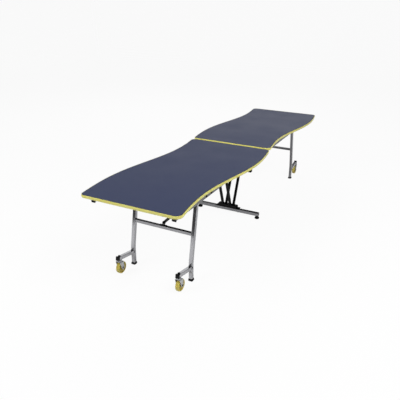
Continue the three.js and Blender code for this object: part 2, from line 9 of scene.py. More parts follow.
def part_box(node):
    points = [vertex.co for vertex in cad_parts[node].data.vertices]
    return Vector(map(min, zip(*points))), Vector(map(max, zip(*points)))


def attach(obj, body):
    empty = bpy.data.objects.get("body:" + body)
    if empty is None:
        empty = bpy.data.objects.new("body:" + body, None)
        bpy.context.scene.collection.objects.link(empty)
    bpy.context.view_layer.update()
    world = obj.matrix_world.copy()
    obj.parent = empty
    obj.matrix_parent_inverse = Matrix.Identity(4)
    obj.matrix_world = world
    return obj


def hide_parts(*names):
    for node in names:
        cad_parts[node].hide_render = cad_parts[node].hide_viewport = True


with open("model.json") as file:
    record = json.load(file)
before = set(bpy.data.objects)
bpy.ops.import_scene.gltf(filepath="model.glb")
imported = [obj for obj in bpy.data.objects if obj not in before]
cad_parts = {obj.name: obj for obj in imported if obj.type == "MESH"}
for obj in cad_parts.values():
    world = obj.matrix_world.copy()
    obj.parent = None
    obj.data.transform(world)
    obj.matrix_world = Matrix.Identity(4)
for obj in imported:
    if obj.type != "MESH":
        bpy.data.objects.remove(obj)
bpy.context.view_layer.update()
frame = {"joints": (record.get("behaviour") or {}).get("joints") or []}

# The right half is drawn, and the left half is the same drawing turned half a turn about Z.
halfTurn = {"right": Matrix.Identity(4), "left": Matrix.Rotation(math.pi, 4, "Z")}
jointAt = {joint["name"]: Vector(joint["pos_m"]) for joint in frame["joints"]}
hingeAt = jointAt["right_leaf_fold"]
legAt = jointAt["right_legs_fold"]
linkAt = jointAt["right_link_swing"]
stemAt = jointAt["right_swivel_back"]
stemUp = next(Vector(joint["axis"]) for joint in frame["joints"] if joint["name"] == "right_swivel_back")
legOut = Vector((stemUp.z, 0, -stemUp.x))  # square to the legs, which lean as the caster stems do
acrossY = Vector((0, 1, 0))
upZ = Vector((0, 0, 1))
alongX = Vector((1, 0, 0))
mm = 0.001


def sideName(half, side):
    return "front" if (side < 0) == (half == "right") else "back"


# Mesh helpers

def atY(point, y):
    return Vector((point.x, y, point.z))


def inMetres(profile):
    return [(first * mm, second * mm) for first, second in profile]


def roundedSection(width, height, radius, steps=5):
    points = []
    for quarter, (sx, sy) in enumerate(((1, 1), (-1, 1), (-1, -1), (1, -1))):
        for i in range(steps + 1):
            angle = math.radians(90) * (quarter + i / steps)
            x = sx * (width / 2 - radius) + radius * math.cos(angle)
            y = sy * (height / 2 - radius) + radius * math.sin(angle)
            points.append((x, y))
    return points


def ringAt(section, origin, across, up):
    return [origin + across * x + up * y for x, y in section]


def loft(bm, rings, closed=False):
    rows = [[bm.verts.new(point) for point in ring] for ring in rings]
    count = len(rows[0])
    for low, high in zip(rows, rows[1:] + (rows[:1] if closed else [])):
        for i in range(count):
            j = (i + 1) % count
            bm.faces.new((low[i], low[j], high[j], high[i]))
    if not closed:
        bm.faces.new(rows[0][::-1])
        bm.faces.new(rows[-1])


def layeredBlock(bm, layers, width, height, corner, across, up, shrinking=False):
    # a rounded rectangle at each layer's centre, smaller by the layer's inset on every side
    rings = []
    for centre, less in layers:
        radius = corner - less if shrinking else corner
        rings.append(ringAt(roundedSection(width - 2 * less, height - 2 * less, radius), centre, across, up))
    loft(bm, rings)


def squareTube(bm, start, end, across, width, height, corner, ease=0.8 * mm):
    along = (end - start).normalized()
    layers = ((start, ease), (start + along * ease, 0), (end - along * ease, 0), (end, ease))
    layeredBlock(bm, layers, width, height, corner, across, along.cross(across), shrinking=True)


def lathe(bm, profile, origin, axis, sides=48, closed=False):
    # profile: distance from the axis and place along it
    across = axis.orthogonal().normalized()
    other = axis.cross(across)
    angles = [2 * math.pi * i / sides for i in range(sides)]
    ways = [across * math.cos(angle) + other * math.sin(angle) for angle in angles]
    loft(bm, [[origin + axis * along + way * radius for way in ways] for radius, along in profile], closed)


def insetLoop(loop, distance, sharpest=0.3):
    # moves each point of a counter-clockwise outline inwards, square to its two sides
    moved = []
    for i, point in enumerate(loop):
        before = (point - loop[i - 1]).normalized()
        after = (loop[(i + 1) % len(loop)] - point).normalized()
        normalA = Vector((-before.y, before.x))
        normalB = Vector((-after.y, after.x))
        middle = (normalA + normalB).normalized()
        moved.append(point + middle * (distance / max(sharpest, middle.dot(normalA))))
    return moved


def slab(bm, loop, low, high, ease, place):
    # a plate with eased edges: the loop in local X and Y, the thickness along local Z
    easedLoop = insetLoop(loop, ease)
    layers = ((easedLoop, low), (loop, low + ease), (loop, high - ease), (easedLoop, high))
    loft(bm, [[place @ Vector((p.x, p.y, z)) for p in points] for points, z in layers])


def eye(bm, centre, inner, outer, low, high, ease=0.6 * mm, sides=40):
    # a flat ring about a Y axis
    profile = [
        (inner, low), (outer - ease, low), (outer, low + ease),
        (outer, high - ease), (outer - ease, high), (inner, high),
    ]
    lathe(bm, profile, centre, acrossY, sides, closed=True)


hexPinSpec = {
    "washer": 1.2,  # of the head's radius
    "washerSheet": 1.2 * mm, "headStart": 1 * mm,
    "chamferStart": 0.8, "chamferTop": 0.86,  # of the head's height and radius
    "pinSides": 24, "washerSides": 32,
}


def hexPin(bm, centre, reach, spec):
    # a pin along Y with a washer and a six-sided head at each end
    radius, head, height = spec["pinRadius"], spec["pinHead"], spec["pinHeadHeight"]
    washer, top = hexPinSpec["washer"] * head, hexPinSpec["chamferTop"] * head
    lathe(bm, [(radius, -reach), (radius, reach)], centre, acrossY, hexPinSpec["pinSides"])
    for out in (-1, 1):
        face, washerEnd = out * reach, out * (reach + hexPinSpec["washerSheet"])
        lathe(bm, [(washer, face), (washer, washerEnd)], centre, acrossY, hexPinSpec["washerSides"])
        rises = (hexPinSpec["headStart"], hexPinSpec["chamferStart"] * height, height)
        profile = [(size, face + out * rise) for size, rise in zip((head, head, top), rises)]
        lathe(bm, profile, centre, acrossY, 6)


def strapPair(bm, centre, start, end, spec):
    # two straps that hold a pin between them, each an eye and a bar to its root
    width = spec["strapWidth"]
    for side in (-1, 1):
        low, high = sorted((side * spec["strapLow"], side * spec["strapHigh"]))
        eye(bm, centre, spec["pinRadius"], width / 2, low, high)
        middle = acrossY * ((low + high) / 2)
        section = (high - low - spec["barThinner"], spec["barWidth"] * width, spec["corner"])
        squareTube(bm, start + middle, end + middle, acrossY, *section)
    hexPin(bm, centre, spec["strapHigh"], spec)


def bakeModifier(piece, modifier):
    made = bpy.data.meshes.new_from_object(piece.evaluated_get(bpy.context.evaluated_depsgraph_get()))
    piece.modifiers.remove(modifier)
    piece.data = made
    made.name = piece.name


def flattenSides(piece):
    # a large face shades flat up to its rounded corners
    weighted = piece.modifiers.new("flatSides", "WEIGHTED_NORMAL")
    weighted.keep_sharp = True
    weighted.weight = 100
    bakeModifier(piece, weighted)


def dressPiece(piece, body, nodes):
    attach(piece, body)
    if nodes:
        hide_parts(*nodes)


def addPiece(name, bm, half, body, slotName, finishes, nodes=(), sharpAngle=32):
    bmesh.ops.transform(bm, matrix=halfTurn[half], verts=bm.verts)
    bmesh.ops.recalc_face_normals(bm, faces=bm.faces)
    mesh = bpy.data.meshes.new(name)
    bm.to_mesh(mesh)
    bm.free()
    mesh.shade_smooth()
    mesh.set_sharp_from_angle(angle=math.radians(sharpAngle))
    for finish in finishes:
        mesh.materials.append(finish)
    piece = bpy.data.objects.new(name, mesh)
    bpy.context.scene.collection.objects.link(piece)
    flattenSides(piece)
    dressPiece(piece, body, nodes)
    return piece


# Node helpers

def feed(tree, node, sockets):
    # each socket gets a fixed value, or a link from another node's output
    for name, value in sockets.items():
        if isinstance(value, bpy.types.NodeSocket):
            tree.links.new(value, node.inputs[name])
        else:
            node.inputs[name].default_value = value


def addNode(tree, kind, sockets, **settings):
    node = tree.nodes.new(kind)
    for name, value in settings.items():
        setattr(node, name, value)
    feed(tree, node, sockets)
    return node


def combine(tree, operation, first, second):
    return addNode(tree, "ShaderNodeMath", {0: first, 1: second}, operation=operation).outputs["Value"]


def axesOf(tree, system):
    coords = tree.nodes.new("ShaderNodeTexCoord")
    return addNode(tree, "ShaderNodeSeparateXYZ", {"Vector": coords.outputs[system]}).outputs


def mirrorRays(tree, path):
    return combine(tree, "MAXIMUM", path["Is Glossy Ray"], path["Is Transmission Ray"])


# Finishes

noiseSpec = {
    "patchDetail": 4.0, "grainDetail": 2.0,
    "span": (0.3, 0.7),  # most of a noise lies in here
}


def newFinish(name):
    finish = bpy.data.materials.new(name)
    finish.use_nodes = True
    return finish, finish.node_tree, finish.node_tree.nodes["Principled BSDF"]


def objectNoise(tree, scale, detail):
    coords = tree.nodes.new("ShaderNodeTexCoord")
    sockets = {"Vector": coords.outputs["Object"], "Scale": scale, "Detail": detail}
    return addNode(tree, "ShaderNodeTexNoise", sockets).outputs["Fac"]


def remap(tree, value, low, high, span=noiseSpec["span"]):
    sockets = {"Value": value, "From Min": span[0], "From Max": span[1], "To Min": low, "To Max": high}
    return addNode(tree, "ShaderNodeMapRange", sockets).outputs["Result"]


def colourBetween(tree, value, first, second):
    sockets = {"Factor": value, "A": (*first, 1), "B": (*second, 1)}
    return addNode(tree, "ShaderNodeMix", sockets, data_type="RGBA").outputs["Result"]


def bumpNormal(tree, height, strength, distance):
    sockets = {"Height": height, "Strength": strength, "Distance": distance}
    return addNode(tree, "ShaderNodeBump", sockets).outputs["Normal"]


def variedFinish(name, look):
    finish, tree, shader = newFinish(name)
    patches = objectNoise(tree, look["patchScale"], noiseSpec["patchDetail"])
    grain = objectNoise(tree, look["grainScale"], noiseSpec["grainDetail"])
    tint = remap(tree, grain if look.get("tintBy") == "grain" else patches, 0.0, 1.0)
    feed(tree, shader, {
        "Metallic": look.get("metal", 0.0),
        "Base Color": colourBetween(tree, tint, look["dark"], look["light"]),
        "Roughness": remap(tree, patches, *look["rough"]),
        "Normal": bumpNormal(tree, grain, look["bump"], look["bumpDepth"]),
        **look.get("sockets", {}),
    })
    return finish


chrome = variedFinish("brightChrome", {
    "metal": 1.0, "dark": (0.43, 0.43, 0.45), "light": (0.49, 0.49, 0.51), "rough": (0.07, 0.15),
    "patchScale": 22.0, "grainScale": 900.0, "bump": 0.02, "bumpDepth": 0.2 * mm,
})
# the legs' chrome made darker, as painted shade: the crossbars and the foot bar stand in the table's shade
# and mirror the shaded floor
barChromePaintedShade = variedFinish("barChromeWithPaintedShade", {
    "metal": 1.0, "dark": (0.31, 0.31, 0.325), "light": (0.36, 0.36, 0.375), "rough": (0.08, 0.17),
    "patchScale": 20.0, "grainScale": 900.0, "bump": 0.02, "bumpDepth": 0.2 * mm,
})
# the rails' chrome made dark grey, as painted shade: the rails stand in the shade under the leaf's edge
railChromePaintedShade = variedFinish("railChromeWithPaintedShade", {
    "metal": 1.0, "dark": (0.17, 0.173, 0.175), "light": (0.23, 0.233, 0.235), "rough": (0.22, 0.34),
    "patchScale": 14.0, "grainScale": 800.0, "bump": 0.05, "bumpDepth": 0.2 * mm,
})
blackCoat = variedFinish("blackPowderCoat", {
    "dark": (0.0018, 0.0018, 0.002), "light": (0.0036, 0.0036, 0.004), "rough": (0.42, 0.56),
    "patchScale": 30.0, "grainScale": 1400.0, "bump": 0.12, "bumpDepth": 0.2 * mm,
    "sockets": {"Specular IOR Level": 0.22},
})
blackPlastic = variedFinish("blackMouldedPlastic", {
    "dark": (0.0025, 0.0025, 0.0028), "light": (0.005, 0.005, 0.0054), "rough": (0.45, 0.6),
    "patchScale": 40.0, "grainScale": 2200.0, "bump": 0.15, "bumpDepth": 0.15 * mm,
    "sockets": {"Specular IOR Level": 0.25},
})
laminate = variedFinish("slateLaminate", {
    "dark": (0.035, 0.046, 0.101), "light": (0.041, 0.054, 0.115), "rough": (0.38, 0.46),
    "tintBy": "grain", "patchScale": 3.0, "grainScale": 700.0, "bump": 0.05, "bumpDepth": 0.1 * mm,
})
laminateCore = variedFinish("laminateCutEdge", {
    "dark": (0.010, 0.008, 0.007), "light": (0.022, 0.017, 0.014), "rough": (0.5, 0.6),
    "patchScale": 60.0, "grainScale": 900.0, "bump": 0.1, "bumpDepth": 0.1 * mm,
})
yellowMoulding = variedFinish("yellowMoulding", {
    "dark": (0.72, 0.67, 0.17), "light": (0.78, 0.73, 0.22), "rough": (0.28, 0.38),
    "patchScale": 9.0, "grainScale": 1200.0, "bump": 0.06, "bumpDepth": 0.1 * mm,
    "sockets": {"Subsurface Weight": 0.05, "Subsurface Scale": 2 * mm},
})
amberTread = variedFinish("amberTread", {
    "dark": (0.52, 0.42, 0.075), "light": (0.62, 0.52, 0.11), "rough": (0.30, 0.44),
    "patchScale": 45.0, "grainScale": 1500.0, "bump": 0.1, "bumpDepth": 0.15 * mm,
    "sockets": {"Subsurface Weight": 0.12, "Subsurface Scale": 4 * mm},
})
# the wheel's core is its own part; its amber is made darker than the tread's as painted shade in the wheel's
# recessed side
amberCorePaintedShade = variedFinish("amberWheelCore", {
    "dark": (0.42, 0.33, 0.06), "light": (0.52, 0.42, 0.085), "rough": (0.40, 0.5),
    "patchScale": 45.0, "grainScale": 1500.0, "bump": 0.1, "bumpDepth": 0.15 * mm,
})
zinc = variedFinish("zincPlate", {
    "metal": 1.0, "dark": (0.50, 0.51, 0.52), "light": (0.62, 0.63, 0.63), "rough": (0.24, 0.38),
    "patchScale": 60.0, "grainScale": 1100.0, "bump": 0.06, "bumpDepth": 0.15 * mm,
})
darkBolt = variedFinish("blackenedBolt", {
    "metal": 0.9, "dark": (0.020, 0.020, 0.022), "light": (0.045, 0.045, 0.047), "rough": (0.32, 0.46),
    "patchScale": 80.0, "grainScale": 1400.0, "bump": 0.08, "bumpDepth": 0.1 * mm,
})

# the backing sheet's black is painted shade: the leaf's underside stands black for the shade under the leaf
boardLook = {
    "shadeSheetBlack": (0.009, 0.009, 0.010), "chipDark": (0.20, 0.13, 0.07), "chipLight": (0.46, 0.34, 0.20),
    "chipScale": 380.0, "chipDetail": 6.0, "shadeSheetThickness": 0.8 * mm, "specular": 0.12,
    "rough": (0.45, 0.62), "bump": 0.1, "bumpDepth": 0.2 * mm,
}


def boardFinish(underside):
    # chipboard with a thin backing sheet under it, made black as painted shade for the shade under the leaf
    finish, tree, shader = newFinish("chipboardWithPaintedShadeUnder")
    chips = objectNoise(tree, boardLook["chipScale"], boardLook["chipDetail"])
    wood = colourBetween(tree, remap(tree, chips, 0.0, 1.0), boardLook["chipDark"], boardLook["chipLight"])
    height = axesOf(tree, "Object")["Z"]
    # painted shade: everything below this height is the black sheet
    above = combine(tree, "GREATER_THAN", height, underside + boardLook["shadeSheetThickness"])
    sockets = {"Factor": above, "A": (*boardLook["shadeSheetBlack"], 1), "B": wood}
    layers = addNode(tree, "ShaderNodeMix", sockets, data_type="RGBA")
    feed(tree, shader, {
        "Specular IOR Level": boardLook["specular"],
        "Base Color": layers.outputs["Result"],
        "Roughness": remap(tree, chips, *boardLook["rough"]),
        "Normal": bumpNormal(tree, chips, boardLook["bump"], boardLook["bumpDepth"]),
    })
    return finish


print("finishes ready")

# Leaves

leafSpec = {
    "width": 778 * mm,  # between the middle lines of the wavy sides
    "wave": 43 * mm,
    "corner": 45 * mm,
    "seamReach": 17 * mm,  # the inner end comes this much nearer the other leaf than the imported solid
    "mouldingDepth": 4 * mm,
    "mouldingSharp": 50,  # degrees
    "noseSteps": 18,
    "sheet": 1 * mm,
    "sheetEdge": 3 * mm,  # bevelled edge of the sheet, where its dark core shows
    "sheetFall": 0.5 * mm,  # and how far the bevel falls
    "sheetSharp": 4,  # degrees, under the bevel's slope, so that the top stays flat
    "levelNormal": 0.995,  # a face whose normal rises more than this is the sheet's top
    "boardEaseLow": 1 * mm,
    "boardEaseHigh": 0.3 * mm,
    "joint": 0.3 * mm,
    "sideSteps": 110,
    "cornerSteps": 16,
    "touchRounds": 12,
}
mouldingLow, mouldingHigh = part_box("right_edge_moulding")
waveRate = 2 * math.pi / mouldingHigh.x  # one wave to a leaf


def leafOutline():
    # points of the wavy outline, counter-clockwise, each with its outward direction
    corner = leafSpec["corner"]

    def sidePoint(side, x):
        return Vector((x, side * leafSpec["width"] / 2 + leafSpec["wave"] * math.sin(waveRate * x)))

    def sideNormal(side, x):
        return Vector((-side * leafSpec["wave"] * waveRate * math.cos(waveRate * x), side)).normalized()

    def touch(side, middle):
        # where the side meets a corner whose centre has this X
        x = middle
        for _ in range(leafSpec["touchRounds"]):
            x = middle + corner * sideNormal(side, x).x
        return x

    def along(side, start, end):
        steps = leafSpec["sideSteps"]
        places = [start + (end - start) * i / steps for i in range(steps + 1)]
        return [(sidePoint(side, x), sideNormal(side, x)) for x in places]

    def turn(side, x, end):
        # the round corner from the side to the straight end, whose outward direction is the angle given
        normal = sideNormal(side, x)
        start = math.atan2(normal.y, normal.x) % (2 * math.pi)
        middle = sidePoint(side, x) - normal * corner
        steps = leafSpec["cornerSteps"]
        angles = [start + (end - start) * i / steps for i in range(1, steps + 1)]
        ways = [Vector((math.cos(angle), math.sin(angle))) for angle in angles]
        return [(middle + way * corner, way) for way in ways]

    inner, outer = mouldingLow.x - leafSpec["seamReach"], mouldingHigh.x
    frontIn, backIn = (touch(side, inner + corner) for side in (-1, 1))
    frontOut, backOut = (touch(side, outer - corner) for side in (-1, 1))
    return (
        along(-1, frontIn, frontOut) + turn(-1, frontOut, 2 * math.pi) + turn(1, backOut, 0)[::-1]
        + along(1, backOut, backIn) + turn(1, backIn, math.pi) + turn(-1, frontIn, math.pi)[::-1]
    )


outline = leafOutline()


def leafRing(out, height):
    return [Vector((*(point + way * out), height)) for point, way in outline]


def mouldingSection():
    # a nose shaped as half an ellipse
    halfHeight = (mouldingHigh.z - mouldingLow.z) / 2
    middle = (mouldingHigh.z + mouldingLow.z) / 2
    section = []
    for i in range(leafSpec["noseSteps"] + 1):
        angle = math.pi * (i / leafSpec["noseSteps"] - 0.5)
        out, rise = math.cos(angle) - 1, math.sin(angle)
        section.append((leafSpec["mouldingDepth"] * out, middle + halfHeight * rise))
    return section


boardLow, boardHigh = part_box("right_leaf_board")
chipboard = boardFinish(boardLow.z)


def makeLeaf(half):
    body = f"{half}_leaf"
    top = mouldingHigh.z
    edge = -leafSpec["mouldingDepth"] - leafSpec["joint"]

    bm = bmesh.new()
    loft(bm, [leafRing(out, height) for out, height in mouldingSection()], closed=True)
    addPiece(
        f"{half}EdgeMoulding", bm, half, body, "edge", [yellowMoulding], [f"{half}_edge_moulding"],
        leafSpec["mouldingSharp"],
    )

    bm = bmesh.new()
    loft(bm, [
        leafRing(edge, top - leafSpec["sheet"]),
        leafRing(edge, top - leafSpec["sheetFall"]),
        leafRing(edge - leafSpec["sheetEdge"], top),
    ])
    sheet = addPiece(
        f"{half}TopSheet", bm, half, body, "laminate", [laminate, laminateCore], [f"{half}_leaf_laminate"],
        leafSpec["sheetSharp"],
    )
    for face in sheet.data.polygons:
        face.material_index = 0 if face.normal.z > leafSpec["levelNormal"] else 1

    bm = bmesh.new()
    easeLow, easeHigh = leafSpec["boardEaseLow"], leafSpec["boardEaseHigh"]
    loft(bm, [
        leafRing(edge - easeLow, boardLow.z), leafRing(edge, boardLow.z + easeLow),
        leafRing(edge, boardHigh.z - easeHigh), leafRing(edge - easeHigh, boardHigh.z),
    ])
    addPiece(f"{half}Board", bm, half, body, "board", [chipboard], [f"{half}_leaf_board"])


# Rails, their caps and the bracket under the bulge

railSpec = {
    "corner": 4 * mm, "capRound": 1.8 * mm, "capOver": 3.5 * mm, "capDrop": 4 * mm,
    "capBreak": 0.4,  # where the cap's round end is broken, as a share of the round
}


def addPlug(name, half, body, node, *block):
    bm = bmesh.new()
    layeredBlock(bm, *block)
    addPiece(name, bm, half, body, "black_plastic", [blackPlastic], [node])


def makeRails(half):
    body = f"{half}_leaf"
    corner, soft, drop = railSpec["corner"], railSpec["capRound"], railSpec["capDrop"]
    broken = railSpec["capBreak"] * soft
    for side in (-1, 1):
        name = sideName(half, side)
        low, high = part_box("right_rail_" + sideName("right", side))
        middle = (low + high) / 2
        width, height = high.y - low.y, high.z - low.z
        start, end = Vector((low.x, middle.y, middle.z)), Vector((high.x, middle.y, middle.z))
        bm = bmesh.new()
        squareTube(bm, start, end, acrossY, width, height, corner)
        addPiece(f"{half}RailTube_{name}", bm, half, body, "chrome", [railChromePaintedShade], [f"{half}_rail_{name}"])

        capStart = end.x + leafSpec["joint"]
        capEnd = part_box("right_rail_cap_" + sideName("right", side))[1].x
        steps = ((capStart, 0), (capEnd - soft, 0), (capEnd - broken, broken), (capEnd, soft))
        layers = [(Vector((x, middle.y, middle.z - drop / 2)), less) for x, less in steps]
        size = (width + 2 * railSpec["capOver"], height + drop)
        node = f"{half}_rail_cap_{name}"
        addPlug(f"{half}RailPlug_{name}", half, body, node, layers, *size, corner, acrossY, upZ)


supportSpec = {"depth": 45 * mm, "over": 13 * mm, "corner": 4 * mm, "ease": 1.2 * mm, "steps": 8}


def makeSupport(half):
    low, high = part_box("right_bulge_support")
    top, bottom, end = high.z, high.z - supportSpec["depth"], high.y + supportSpec["over"]
    corner = supportSpec["corner"]
    loop = [Vector((low.y, top)), Vector((low.y, bottom))]
    for i in range(supportSpec["steps"] + 1):
        angle = math.pi / 2 * (i / supportSpec["steps"] - 1)
        y, z = end - corner + corner * math.cos(angle), bottom + corner + corner * math.sin(angle)
        loop.append(Vector((y, z)))
    loop.append(Vector((end, top)))
    bm = bmesh.new()
    toTable = Matrix(((0, 0, 1, 0), (1, 0, 0, 0), (0, 1, 0, 0), (0, 0, 0, 1)))  # local X and Y to Y and Z
    slab(bm, loop, low.x, high.x, supportSpec["ease"], toTable)
    nodes = [f"{half}_bulge_support"]
    addPiece(f"{half}BulgeBracket", bm, half, f"{half}_leaf", "black_paint", [blackCoat], nodes)


# Hinge rods

rodSpec = {
    "radius": 6 * mm, "headRadius": 10 * mm, "sides": 28, "headSides": 32, "domeHeight": 6 * mm,
    "dome": (  # share of the head's radius, and height
        (1, 0), (1, 2.2 * mm), (0.86, 4.4 * mm), (0.5, 5.6 * mm), (0.1, 6 * mm),
    ),
}


def makeHingeRod(half):
    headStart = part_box("right_hinge_rod")[1].y - rodSpec["domeHeight"]
    radius = rodSpec["radius"]
    bm = bmesh.new()
    lathe(bm, [(radius, -headStart), (radius, headStart)], hingeAt, acrossY, rodSpec["sides"])
    for out in (-1, 1):
        head = [(share * rodSpec["headRadius"], out * (headStart + rise)) for share, rise in rodSpec["dome"]]
        lathe(bm, head, hingeAt, acrossY, rodSpec["headSides"])
    addPiece(f"{half}HingeRod", bm, half, f"{half}_leaf", "zinc", [darkBolt], [f"{half}_hinge_rod"])


# Leg frames

legSpec = {
    "size": 27 * mm, "corner": 2.4 * mm, "bend": 120 * mm, "kink": 150 * mm,
    "sleeve": 13.5 * mm, "sleeveEase": 1 * mm, "sleeveSides": 36, "bottom": 7 * mm, "bendSteps": 10,
    "headTurn": math.radians(84), "headSteps": 8,  # how far the round end is followed
    "headCorner": 0.45,  # most that a corner takes of the round end's width
    "armInset": 22 * mm,  # caster stem from the arm's capped end
    "armLip": 4 * mm,
}
leanAngle = math.atan2(-stemUp.x, stemUp.z)
legSpread = stemAt.y
footX = legAt.x + (legAt.z - legSpec["kink"]) * math.tan(leanAngle)
armEnd = stemAt + stemUp * (legSpec["size"] / 2) + legOut * legSpec["armInset"] - acrossY * legSpread
armRoot = armEnd - legOut * ((armEnd.x - footX) / legOut.x)


def legRings(y):
    size, corner, bend = legSpec["size"], legSpec["corner"], legSpec["bend"]
    bendStart = legSpec["kink"] - bend * math.tan(leanAngle / 2)
    section = roundedSection(size, size, corner)
    rings = [ringAt(section, Vector((footX, y, z)), alongX, acrossY) for z in (legSpec["bottom"], bendStart)]
    for i in range(1, legSpec["bendSteps"] + 1):
        angle = leanAngle * i / legSpec["bendSteps"]
        way = Vector((math.cos(angle), 0, math.sin(angle)))
        centre = Vector((footX - bend, y, bendStart)) + way * bend
        rings.append(ringAt(section, centre, way, acrossY))
    pivot = atY(legAt, y)
    for i in range(legSpec["headSteps"] + 1):  # round end about the pivot
        angle = legSpec["headTurn"] * i / legSpec["headSteps"]
        width, depth = size * math.cos(angle), size - 2 * corner * (1 - math.cos(angle))
        head = roundedSection(width, depth, min(corner, legSpec["headCorner"] * width))
        rings.append(ringAt(head, pivot + stemUp * (math.sin(angle) * size / 2), legOut, acrossY))
    return rings


def makeLegs(half):
    body = f"{half}_legs"
    size, sleeve, ease = legSpec["size"], legSpec["sleeve"], legSpec["sleeveEase"]
    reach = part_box("right_rail_back")[0].y - leafSpec["joint"] - legSpread
    for side in (-1, 1):
        name = sideName(half, side)
        y = side * legSpread
        atSide = Vector((0, y, 0))
        bm = bmesh.new()
        loft(bm, legRings(y))
        rim = [(sleeve, 0), (sleeve, reach - ease), (sleeve - ease, reach)]
        lathe(bm, rim, atY(legAt, y), acrossY * side, legSpec["sleeveSides"])
        tubeEnd = armEnd - legOut * legSpec["armLip"] + atSide
        squareTube(bm, armRoot + atSide, tubeEnd, acrossY, size, size, legSpec["corner"])
        addPiece(f"{half}LegTube_{name}", bm, half, body, "chrome", [chrome], [f"{half}_leg_{name}"])
        makeArmPlug(half, name, tubeEnd, body)
        makeFootBoot(half, name, y, body)


armPlugSpec = {
    "over": 4 * mm,
    "profile": (  # place along the arm and inset, in mm
        (-6, 0.2), (-5.6, 0), (2.4, 0), (3.36, 0.8), (4, 2.56),
    ),
}


def makeArmPlug(half, name, tubeEnd, body):
    size = legSpec["size"] + armPlugSpec["over"]
    layers = [(tubeEnd + legOut * along, less) for along, less in inMetres(armPlugSpec["profile"])]
    block = (layers, size, size, legSpec["corner"], acrossY, stemUp)
    addPlug(f"{half}ArmPlug_{name}", half, body, f"{half}_arm_cap_{name}", *block)


bootSpec = {
    "corner": 5 * mm,
    "profile": (  # height and inset, in mm
        (0, 2.4), (0.8, 1.2), (2.6, 0.2), (4.5, 0), (10, 0.6), (15.5, 1.2), (17.2, 1.7), (18, 2.6),
    ),
}


def makeFootBoot(half, name, y, body):
    low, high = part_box("right_foot_cap_back")
    size = high.x - low.x
    layers = [(Vector((footX, y, z)), less) for z, less in inMetres(bootSpec["profile"])]
    block = (layers, size, size, bootSpec["corner"], alongX, acrossY)
    addPlug(f"{half}FootBoot_{name}", half, body, f"{half}_foot_cap_{name}", *block)


crossbarSpec = {"size": 24 * mm, "corner": 2.2 * mm, "height": 365 * mm}
clevisSpec = {
    "rise": 29.4 * mm, "inset": 11.2 * mm,  # its pin from the crossbar's middle
    "pinRadius": 4.5 * mm, "pinHead": 6.4 * mm, "pinHeadHeight": 3.4 * mm,
    "strapLow": 5 * mm, "strapHigh": 9 * mm, "strapWidth": 20 * mm,
    "barWidth": 0.94, "barDrop": 0.55,  # of the strap's width
    "barThinner": 0.4 * mm, "corner": 1 * mm, "footInset": 2 * mm, "footSink": 1 * mm,
    "wing": (5 * mm, 30 * mm), "wingSheet": 4 * mm, "wingWidth": 20 * mm,
}
crossbarZ = crossbarSpec["height"]
crossbarAt = Vector((legAt.x + (legAt.z - crossbarZ) * math.tan(leanAngle), 0, crossbarZ))
clevisPin = crossbarAt + upZ * clevisSpec["rise"] - alongX * clevisSpec["inset"]


def makeCrossbar(half):
    body = f"{half}_legs"
    low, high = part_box("right_crossbar")
    size = crossbarSpec["size"]
    bm = bmesh.new()
    start, end = atY(crossbarAt, low.y), atY(crossbarAt, high.y)
    squareTube(bm, start, end, alongX, size, size, crossbarSpec["corner"])
    addPiece(f"{half}CrossTube", bm, half, body, "chrome", [barChromePaintedShade], [f"{half}_crossbar"])

    spec = clevisSpec
    top = crossbarAt.z + size / 2
    foot = Vector((crossbarAt.x - spec["footInset"], 0, top - spec["footSink"]))
    bm = bmesh.new()
    strapPair(bm, clevisPin, foot, clevisPin - upZ * (spec["barDrop"] * spec["strapWidth"]), spec)
    for side in (-1, 1):
        ends = [Vector((crossbarAt.x, side * y, top + spec["wingSheet"] / 2)) for y in spec["wing"]]
        squareTube(bm, *ends, alongX, spec["wingWidth"], spec["wingSheet"], spec["corner"])
    addPiece(f"{half}LinkClevis", bm, half, body, "black_paint", [blackCoat])


# Control links

linkSpec = {
    "width": 24 * mm, "thickness": 8 * mm, "innerHole": 5.3 * mm, "outerHole": 8.1 * mm,
    "slack": Vector((1.19 * mm, 0, 2.42 * mm)),
    "barWidth": 0.96, "barInset": 0.48,  # of the eyes' width
    "barThinner": 0.2 * mm, "corner": 1.2 * mm,
}


def makeLink(half):
    outer = clevisPin + linkSpec["slack"]
    along = (outer - linkAt).normalized()
    width, flat = linkSpec["width"], linkSpec["thickness"] / 2
    bm = bmesh.new()
    eye(bm, linkAt, linkSpec["innerHole"], width / 2, -flat, flat)
    eye(bm, outer, linkSpec["outerHole"], width / 2, -flat, flat)
    inset = along * (linkSpec["barInset"] * width)
    section = (2 * flat - linkSpec["barThinner"], linkSpec["barWidth"] * width, linkSpec["corner"])
    squareTube(bm, linkAt + inset, outer - inset, acrossY, *section)
    nodes = [f"{half}_control_link"]
    addPiece(f"{half}LinkBar", bm, half, f"{half}_link", "black_paint", [blackCoat], nodes)


# Pedestal

hangerSpec = {
    "tubeRadius": 12.5 * mm, "tubeEase": 1 * mm, "tubeSides": 40,
    "strapLow": 5 * mm, "strapHigh": 10 * mm, "strapWidth": 22 * mm,
    "barWidth": 0.97, "barRise": 0.46,  # of the strap's width
    "barThinner": 0.2 * mm, "corner": 1 * mm,
    "pinRadius": 5 * mm, "pinHead": 6.6 * mm, "pinHeadHeight": 3 * mm,
}


